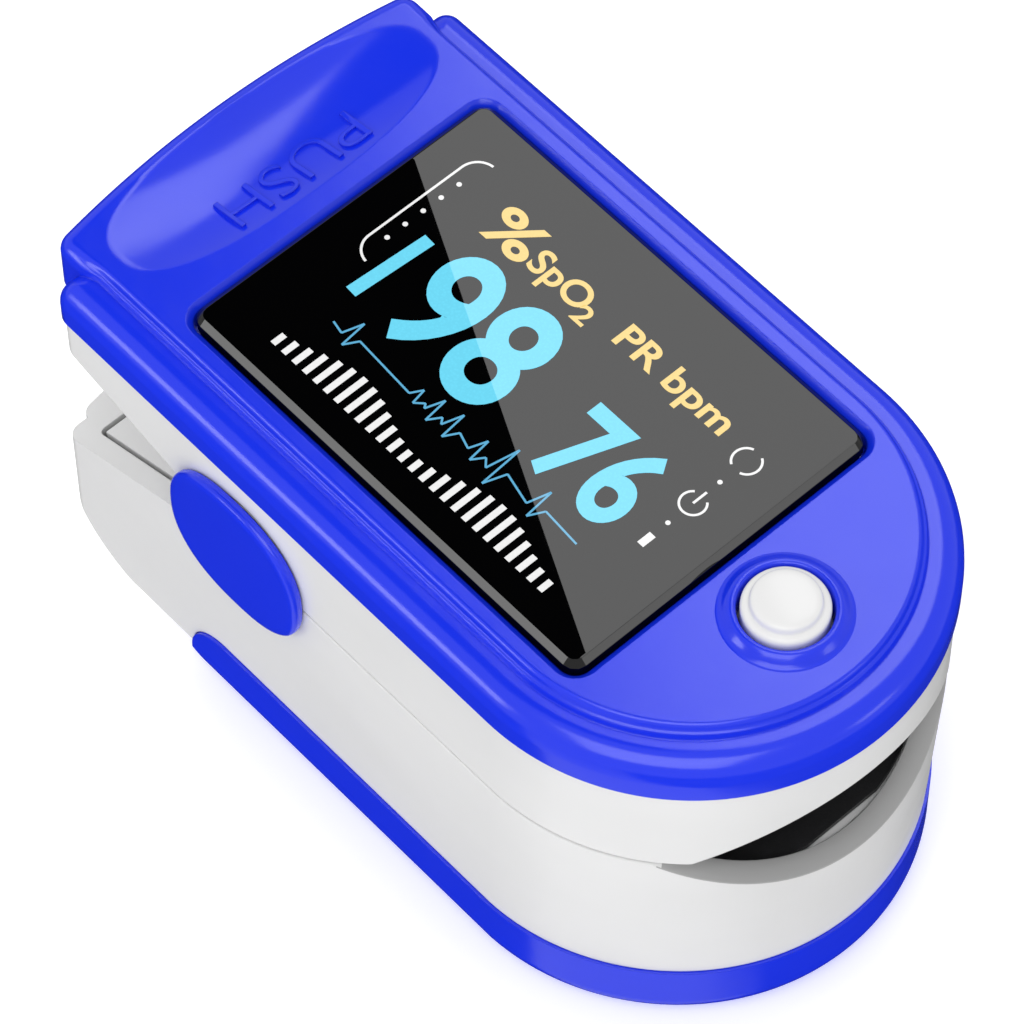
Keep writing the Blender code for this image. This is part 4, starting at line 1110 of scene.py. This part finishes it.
class CLIPMETER_OT_lower_shell(bpy.types.Operator):
    """White wall of the lower half with the bevelled mouth lip and the round heel"""

    bl_idname = "clip_meter.lower_shell"
    bl_label = "Lower Shell"

    def execute(self, context):
        sizes = context.scene.clip_meter_case
        top = SEAM - SEAM_HALF
        floor = NOSE[1]
        shell, tab = shell_walls("lower_skin", floor, top, 10.2 * MM, top - 0.4 * MM, LOWER_SHOULDER,
                                 TAB_REAR - 0.5 * MM)
        crest = SLOPE_START + (top - LOWER_EDGE) / LOWER_SLOPE - 0.4 * MM
        far, high = BEHIND + 2 * MM, top + 4 * MM
        above = side_prism("above", [(crest, high), (crest, top + 0.14 * MM), (far, lower_rear_edge(far)),
                                     (far, high)], -ACROSS, ACROSS)
        heel = side_prism("heel", heel_outline(HEEL_RADIUS), -ACROSS, ACROSS)
        inner = LOWER_HIGH.x - WALL
        bay = plan_prism("bay", case_loop(inner, 24.8 * MM, 0.5 * MM), floor + 0.9 * MM, FAR)
        shape(bay, cut=[side_prism("bay_heel", heel_outline(HEEL_RADIUS - 0.6 * MM), -ACROSS, ACROSS)])
        cover_room = side_prism("cover_room", nose_outline(0.06 * MM), -ACROSS, ACROSS)
        shape(shell, join=[tab], cut=[above, heel, bay, cover_room, lip_cutter(sizes.lip_chamfer)])
        lobes = [bar("lobe", (side * (LOWER_HIGH.x - WALL / 2), HINGE.y, HINGE.z), LOBE_RADIUS,
                     WALL - 0.1 * MM, "X") for side in (-1, 1)]
        shape(shell, join=lobes, cut=[bar("cap_bore", HINGE, CAP_BORE, FAR, "X", 48)])
        set_back(shell)
        even_shading(shell)
        place(shell, finish("white_plastic"), "lower_half", "white_gloss", "lower_shell")
        self.paint_lip_shade(shell)
        return {"FINISHED"}

    def paint_lip_shade(self, shell):
        """Paint shade on the bevel inside the mouth: the upward faces of the round front between the
        lip's lowest point and the seam, under the upper shell, get a darker colour that stands for shade,
        and a duller gloss."""
        shell.data.materials.append(finish("lip_painted_shade"))
        count = len(shell.data.polygons)
        centres, normals = np.empty(count * 3, np.float32), np.empty(count * 3, np.float32)
        shell.data.polygons.foreach_get("center", centres)
        shell.data.polygons.foreach_get("normal", normals)
        _, y, z = centres.reshape(-1, 3).T
        up = normals.reshape(-1, 3)[:, 2]
        lip = (up > 0.3) & (y < FRONT) & (z > LIP_LOW - 0.5 * MM) & (z < SEAM - CLEAR)
        shell.data.polygons.foreach_set("material_index", lip.astype(np.int32))


# ---------------------------------------------------------------- battery cover, caps, pads, spring

class CLIPMETER_OT_battery_cover(bpy.types.Operator):
    """Blue sliding tray with a ridged grip underneath"""

    bl_idname = "clip_meter.battery_cover"
    bl_label = "Battery Cover"

    def execute(self, context):
        sizes = context.scene.clip_meter_case
        rounding, wall, rear = sizes.tray_round, 1.2 * MM, 20 * MM
        profile = arc((rounding, rounding), rounding, 270, 180, 14).tolist() + [(0.0, 9 * MM)]
        tray = loft("tray_skin", plan_rings(profile, HALF, rear, CORNER))
        band = side_prism("band", nose_outline(), -ACROSS, ACROSS)
        cavity = plan_prism("cavity", case_loop(HALF - wall, rear + 2 * MM, 0.5 * MM), wall, 12 * MM)
        ramp_rows = np.array([(10, 0), (10, 1.2), (12.6, 2.9), (24, 2.9), (24, 0)]) * MM
        shape(cavity, cut=[side_prism("ramp", ramp_rows, -ACROSS, ACROSS)])
        tail_rows = np.array([(11.2, -1), (11.2, 0), (15.6, 2.3), (24, 2.3), (24, -1)]) * MM
        tail = side_prism("tail", tail_rows, -ACROSS, ACROSS)
        shape(tray, keep=[band], cut=[tail, cavity, self.grip(sizes.grip_ridges)])
        set_back(tray)
        even_shading(tray)
        place(tray, finish("blue_plastic"), "cover_slide", "blue_gloss", "battery_cover")
        return {"FINISHED"}

    def grip(self, count):
        """Grooves across a shallow oval: slots with round ends, shorter towards the oval's ends."""
        grooves = []
        for index in range(count):
            share = (index - (count - 1) / 2) / (count / 2)
            half = 7.5 * MM * math.sqrt(1 - share ** 2)
            y = FRONT + 2 * MM + share * 6.5 * MM
            loops = [box_loop((0, y), (half + grow * MM, (0.32 + grow) * MM), (0.3 + grow) * MM, 6)
                     for grow in (0.0, 0.22, 0.4)]
            grooves.append(loft("groove", stack(loops, [0.42 * MM, 0.0, -0.3 * MM])))
        return merge("grip", grooves)


class CLIPMETER_OT_hinge_caps(bpy.types.Operator):
    """Blue oval cap over each end of the hinge"""

    bl_idname = "clip_meter.hinge_caps"
    bl_label = "Hinge Caps"

    def execute(self, context):
        back, lower, trim_y, trim_z = 0.8 * MM, 0.9 * MM, 0.2 * MM, 0.25 * MM
        middle = ((CAP_LOW.y + CAP_HIGH.y) / 2 + back, (CAP_LOW.z + CAP_HIGH.z) / 2 - lower)
        half = ((CAP_HIGH.y - CAP_LOW.y) / 2 - trim_y, (CAP_HIGH.z - CAP_LOW.z) / 2 - trim_z)
        face = CAP_HIGH.x
        rows = np.array([(0.28, -0.74), (0.06, -0.7), (0.0, -0.55), (0.0, -0.3), (0.05, -0.16),
                         (0.17, -0.06), (0.34, -0.02), (0.7, 0.0)]) * MM
        for side, name in ((-1, "left"), (1, "right")):
            rings = []
            for inset, rise in rows:
                outline = oval_loop(middle, (half[0] - inset, half[1] - inset), 2.4, 120)
                rings.append(np.column_stack([np.full(len(outline), side * (face + rise)), outline]))
            cap = loft(f"cap_skin_{name}", rings)
            even_shading(cap, 40)
            place(cap, finish("blue_plastic"), "lower_half", "blue_gloss", f"hinge_cap_{name}")
        return {"FINISHED"}


def pad_rings(low, high, rear, ribs, upper):
    """Cross sections of a pad along y. Its working face is the lower (or upper) half of an oval tube
    z = seam -+ rise sqrt(1 - (x / half)^2), flared towards the mouth and crossed by soft ribs."""
    edge_half = UPPER_PAD_HIGH.x
    y = np.linspace(FRONT - edge_half + 0.3 * MM, rear, 150)
    mouth = smooth_step(-y, -(FRONT - 2 * MM), -(FRONT - edge_half))
    half = (9.0 + 4.3 * mouth) * MM
    rise = (4.0 + 1.0 * mouth) * MM
    width = np.where(y < FRONT, np.sqrt(np.maximum(edge_half ** 2 - (y - FRONT) ** 2, 0)), edge_half)
    across = np.linspace(-1, 1, 81)
    x = width[:, None] * np.sign(across) * np.abs(across) ** 0.9
    bowl = np.sqrt(np.maximum(1 - (x / half[:, None]) ** 2, 0)) * rise[:, None]
    end = 1 - smooth_step(y, 0.4 * MM, 1.2 * MM)
    rib = 0.09 * MM * np.cos((y - FRONT) / (rear - FRONT) * np.pi * 2 * ribs)[:, None]
    bowl = bowl * end[:, None]
    bowl = np.maximum(bowl - rib * smooth_step(bowl, 1.0 * MM, 2.5 * MM), CLEAR)
    sign = 1 if upper else -1
    face = np.clip(SEAM + sign * bowl, low + 0.4 * MM, high - 0.4 * MM)
    back = np.full_like(face, high if upper else low)
    y = np.broadcast_to(y[:, None], x.shape)
    return np.concatenate([np.stack([x, y, face], 2), np.stack([x, y, back], 2)[:, ::-1]], 1)


class CLIPMETER_OT_finger_pads(bpy.types.Operator):
    """Two ribbed silicone pads with a window for the optics"""

    bl_idname = "clip_meter.finger_pads"
    bl_label = "Finger Pads"

    def execute(self, context):
        ribs = context.scene.clip_meter_case.pad_ribs
        lens = ((LENS_LOW.x + LENS_HIGH.x) / 2, (LENS_LOW.y + LENS_HIGH.y) / 2)
        for name, low, high, body in (("upper_pad", UPPER_PAD_LOW, UPPER_PAD_HIGH, "upper_half"),
                                      ("lower_pad", LOWER_PAD_LOW, LOWER_PAD_HIGH, "lower_half")):
            rings = pad_rings(low.z, high.z, high.y, ribs, body == "upper_half")
            pad = loft(f"{name}_skin", rings)
            window = bar("window", (*lens, (low.z + high.z) / 2), 2.3 * MM, 12 * MM, "Z", 64)
            shape(pad, cut=[window])
            even_shading(pad, 40)
            place(pad, finish("pad_silicone"), body, "silicone_black", name)
        return {"FINISHED"}


class CLIPMETER_OT_hinge_spring(bpy.types.Operator):
    """Torsion spring coiled about the hinge, one arm towards each half"""

    bl_idname = "clip_meter.hinge_spring"
    bl_label = "Hinge Spring"

    def execute(self, context):
        turns = context.scene.clip_meter_case.spring_turns
        wire, coil = 0.45 * MM, 2.4 * MM
        half = SPRING_HIGH.x - wire
        tips = (Vector((19.0 * MM, 16.7 * MM)), Vector((18.0 * MM, 24.2 * MM)))
        angles = []
        for tip, side in zip(tips, (-1, 1)):
            offset = tip - Vector((HINGE.y, HINGE.z))
            angles.append(math.atan2(offset.y, offset.x) + side * math.acos(coil / offset.length))
        angles[1] -= 2 * math.pi * (turns + 1)
        share = np.linspace(0, 1, 40 * turns)
        angle = angles[0] + (angles[1] - angles[0]) * share
        helix = np.column_stack([half * (2 * share - 1), HINGE.y + coil * np.cos(angle),
                                 HINGE.z + coil * np.sin(angle)])
        arms = [np.array([(side * half, *tip)]) for side, tip in zip((-1, 1), tips)]
        ends = [arms[0] * (1 - t) + helix[0] * t for t in np.linspace(0, 0.96, 8)]
        tails = [helix[-1] * (1 - t) + arms[1] * t for t in np.linspace(0.04, 1, 8)]
        path = np.vstack(ends + [helix] + tails)
        spring = tube("spring_wire", path, wire)
        even_shading(spring, 50)
        spring.data.materials.append(finish("drawn_steel"))
        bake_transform(spring)
        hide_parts("torsion_spring")
        return {"FINISHED"}


class CLIPMETER_OT_inner_finishes(bpy.types.Operator):
    """Finishes of the inner parts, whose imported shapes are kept"""

    bl_idname = "clip_meter.inner_finishes"
    bl_label = "Inner Finishes"

    def execute(self, context):
        groups = {
            "white_plastic": ["lower_liner", "upper_liner", "switch_plunger"],
            "board_lacquer": ["main_board", "sensor_board"],
            "chip_body": ["microcontroller", "analog_chip", "switch_body", "photodiode"],
            "panel_glass": ["oled_display"],
            "lens_epoxy": ["emitter_lens", "detector_lens", "led_emitter"],
            "drawn_steel": ["hinge_pin", "liner_screw_left", "liner_screw_right"]
            + [f"cover_screw_{number}" for number in range(1, 5)],
            "contact_nickel": ["bridge_contact", "contact_left", "contact_right", "contact_spring_left",
                               "contact_spring_right"],
            "cell_sleeve": ["battery_left", "battery_right"],
        }
        for material, members in groups.items():
            for member in members:
                slots = frame["nodes"][member].material_slots
                if not slots:
                    raise RuntimeError(f"{member} has no material slot")
                for slot in slots:
                    slot.material = finish(material)
        return {"FINISHED"}


# ---------------------------------------------------------------- studio

def soft_light(name, spot, turn, width, height, brightness):
    """Rectangular light of a given surface brightness, never seen itself."""
    data = bpy.data.lights.new(name, "AREA")
    data.shape = "RECTANGLE"
    data.size, data.size_y = width, height
    data.energy = brightness * math.pi * width * height
    lamp = bpy.data.objects.new(name, data)
    bpy.context.scene.collection.objects.link(lamp)
    lamp.matrix_world = Matrix.Translation(spot) @ turn
    lamp.visible_camera = False


def softbox(name, spot, aim, width, height, brightness):
    """Soft light aimed at a point."""
    turn = (Vector(aim) - Vector(spot)).to_track_quat("-Z", "Y").to_matrix().to_4x4()
    soft_light(name, spot, turn, width, height, brightness)


def floor_plane(size, drop_by, colour):
    """Square floor a hair under the clip, pale with a hint of grain."""
    cells = 8
    grid = np.linspace(-size / 2, size / 2, cells + 1)
    x, y = np.meshgrid(grid, grid)
    points = np.stack([x, y, np.full_like(x, CAD_BOX[0][2] - drop_by)], 2)
    row, column = np.meshgrid(np.arange(cells), np.arange(cells), indexing="ij")
    corner = row * (cells + 1) + column
    faces = np.stack([corner, corner + 1, corner + cells + 2, corner + cells + 1], -1)
    faces = faces.reshape(-1, 4).tolist()
    floor = new_piece("studio_floor", points, faces)
    recipe = Recipe("floor_paper", Roughness=0.9, Specular_IOR_Level=0.0, Emission_Strength=0.3,
                    Emission_Color=(1, 1, 1, 1))
    floor.data.materials.append(recipe.finish(
        Base_Color=recipe.mix(tint(colour, 0.995), tint(colour, 1.0), recipe.noise(40, 2.0))))
    return floor


class CLIPMETER_OT_studio(bpy.types.Operator):
    """Floor, lights, mirrored card and camera"""

    bl_idname = "clip_meter.studio"
    bl_label = "Studio"

    def execute(self, context):
        studio = context.scene.clip_meter_studio
        scene = context.scene
        floor = floor_plane(6.0, 0.03 * MM, studio.floor)
        floor.visible_glossy = False
        world = bpy.data.worlds.new("studio_sky")
        world.use_nodes = True
        self.sky(world.node_tree, studio.sky)
        scene.world = world
        scene.view_settings.view_transform = "Standard"
        target = Vector((0, 2.25 * MM, 15 * MM))
        eye = self.camera(scene, studio, target)
        softbox("key_light", (-0.30, -0.22, 0.62), target, 0.5, 0.5, studio.key)
        softbox("front_light", (0.29, -0.67, 0.33), target, 0.2, 0.14, studio.key * 0.86)
        softbox("side_light", (-0.50, 0.24, 0.24), target, 0.17, 0.17, studio.key * 1.6)
        self.gloss_card(eye, studio.card)
        return {"FINISHED"}

    def sky(self, tree, strength):
        """Even white light from above. Below the horizon, which only mirrored rays reach, it is dark but
        for one bright sector towards the left, like a white card beside a dark table."""
        work = NodeWork(tree)
        x, y, z = work.parts(work.node("ShaderNodeTexCoord", output="Generated"))
        above = work.ramp(z + 0.5, (0.40, 0.0), (0.52, 1.0))
        sector = (y < 0.14) * (y > -0.45) * (x < 0.0)
        level = above + (1.0 - above) * (0.03 + sector * 0.75)
        background = tree.nodes["Background"]
        work.feed(background.inputs["Strength"], level * strength)
        background.inputs["Color"].default_value = (1, 1, 1, 1)

    def camera(self, scene, studio, target):
        """Long lens on the bearing and height of the studio settings."""
        level = math.cos(studio.elevation)
        outward = Vector((-math.sin(studio.azimuth) * level, -math.cos(studio.azimuth) * level,
                          math.sin(studio.elevation)))
        data = bpy.data.cameras.new("studio_camera")
        data.lens = studio.lens
        data.sensor_width = 36.0
        data.sensor_fit = "HORIZONTAL"
        data.clip_start = 0.01
        data.shift_x, data.shift_y = -0.00202, 0.00241
        camera = bpy.data.objects.new("studio_camera", data)
        scene.collection.objects.link(camera)
        eye = target + outward * studio.distance
        turn = outward.to_track_quat("Z", "Y").to_matrix().to_4x4()
        camera.matrix_world = Matrix.Translation(eye) @ turn
        scene.camera = camera
        return eye

    def gloss_card(self, eye, brightness):
        """Bright card and dark flag side by side above the clip. Their common edge, mirrored in the
        slab, runs from the slab's rear edge to its front left corner: each point p of that line is
        carried from the mirrored eye e to e + t (p - e) at the card's height."""
        mirrored = Vector((eye.x, eye.y, 2 * WINDOW_TOP - eye.z))
        level = 0.5
        ends = []
        for x_share, y in ((0.742, WINDOW_HIGH.y), (0.05, WINDOW_LOW.y)):
            on_slab = Vector((WINDOW_LOW.x + x_share * 2 * WINDOW_HALF.x, y, WINDOW_TOP))
            reach = (level - mirrored.z) / (WINDOW_TOP - mirrored.z)
            ends.append(mirrored + (on_slab - mirrored) * reach)
        along = (ends[0] - ends[1]).normalized()
        aside = along.cross(Vector((0, 0, 1)))
        middle = (ends[0] + ends[1]) / 2
        width, height = 0.22, 0.42
        turn = Matrix((aside, along, Vector((0, 0, 1)))).transposed().to_4x4()
        soft_light("gloss_card", middle + aside * width / 2, turn, width, height, brightness)
        corners = [middle + along * side * height / 2 - aside * out for side, out in
                   ((-1, 0.0), (1, 0.0), (1, 0.3), (-1, 0.3))]
        flag = new_piece("dark_flag", [tuple(corner) for corner in corners], [(0, 1, 2, 3)])
        recipe = Recipe("flag_cloth", Roughness=1.0, Specular_IOR_Level=0.0)
        flag.data.materials.append(recipe.finish(
            Base_Color=recipe.mix((0.001, 0.001, 0.001), (0.002, 0.002, 0.002), recipe.noise(50))))
        flag.visible_camera = False
        flag.visible_diffuse = False
        flag.visible_shadow = False


class CLIPMETER_PT_panel(bpy.types.Panel):
    """Sidebar panel that lists the pieces"""

    bl_label = "Clip Meter"
    bl_idname = "CLIPMETER_PT_panel"
    bl_space_type = "VIEW_3D"
    bl_region_type = "UI"
    bl_category = "Clip Meter"

    def draw(self, context):
        """List every operator in building order."""
        column = self.layout.column(align=True)
        for operator in OPERATORS:
            column.operator(operator.bl_idname)


GROUPS = {"clip_meter_case": ClipMeterCase, "clip_meter_display": ClipMeterDisplay,
          "clip_meter_colours": ClipMeterColours, "clip_meter_studio": ClipMeterStudio}
OPERATORS = (CLIPMETER_OT_top_cover, CLIPMETER_OT_display, CLIPMETER_OT_readout,
             CLIPMETER_OT_power_button, CLIPMETER_OT_upper_shell, CLIPMETER_OT_lower_shell,
             CLIPMETER_OT_battery_cover, CLIPMETER_OT_hinge_caps, CLIPMETER_OT_finger_pads,
             CLIPMETER_OT_hinge_spring, CLIPMETER_OT_inner_finishes, CLIPMETER_OT_studio)


def register():
    """Register the settings, the operators and the panel."""
    for cls in (*GROUPS.values(), *OPERATORS, CLIPMETER_PT_panel):
        bpy.utils.register_class(cls)
    for name, group in GROUPS.items():
        setattr(bpy.types.Scene, name, PointerProperty(type=group))


def unregister():
    """Undo register."""
    for name in GROUPS:
        delattr(bpy.types.Scene, name)
    for cls in reversed((*GROUPS.values(), *OPERATORS, CLIPMETER_PT_panel)):
        bpy.utils.unregister_class(cls)


def main():
    """Build everything in order."""
    register()
    for operator in OPERATORS:
        group, name = operator.bl_idname.split(".")
        getattr(getattr(bpy.ops, group), name)()


if __name__ == "__main__":
    main()
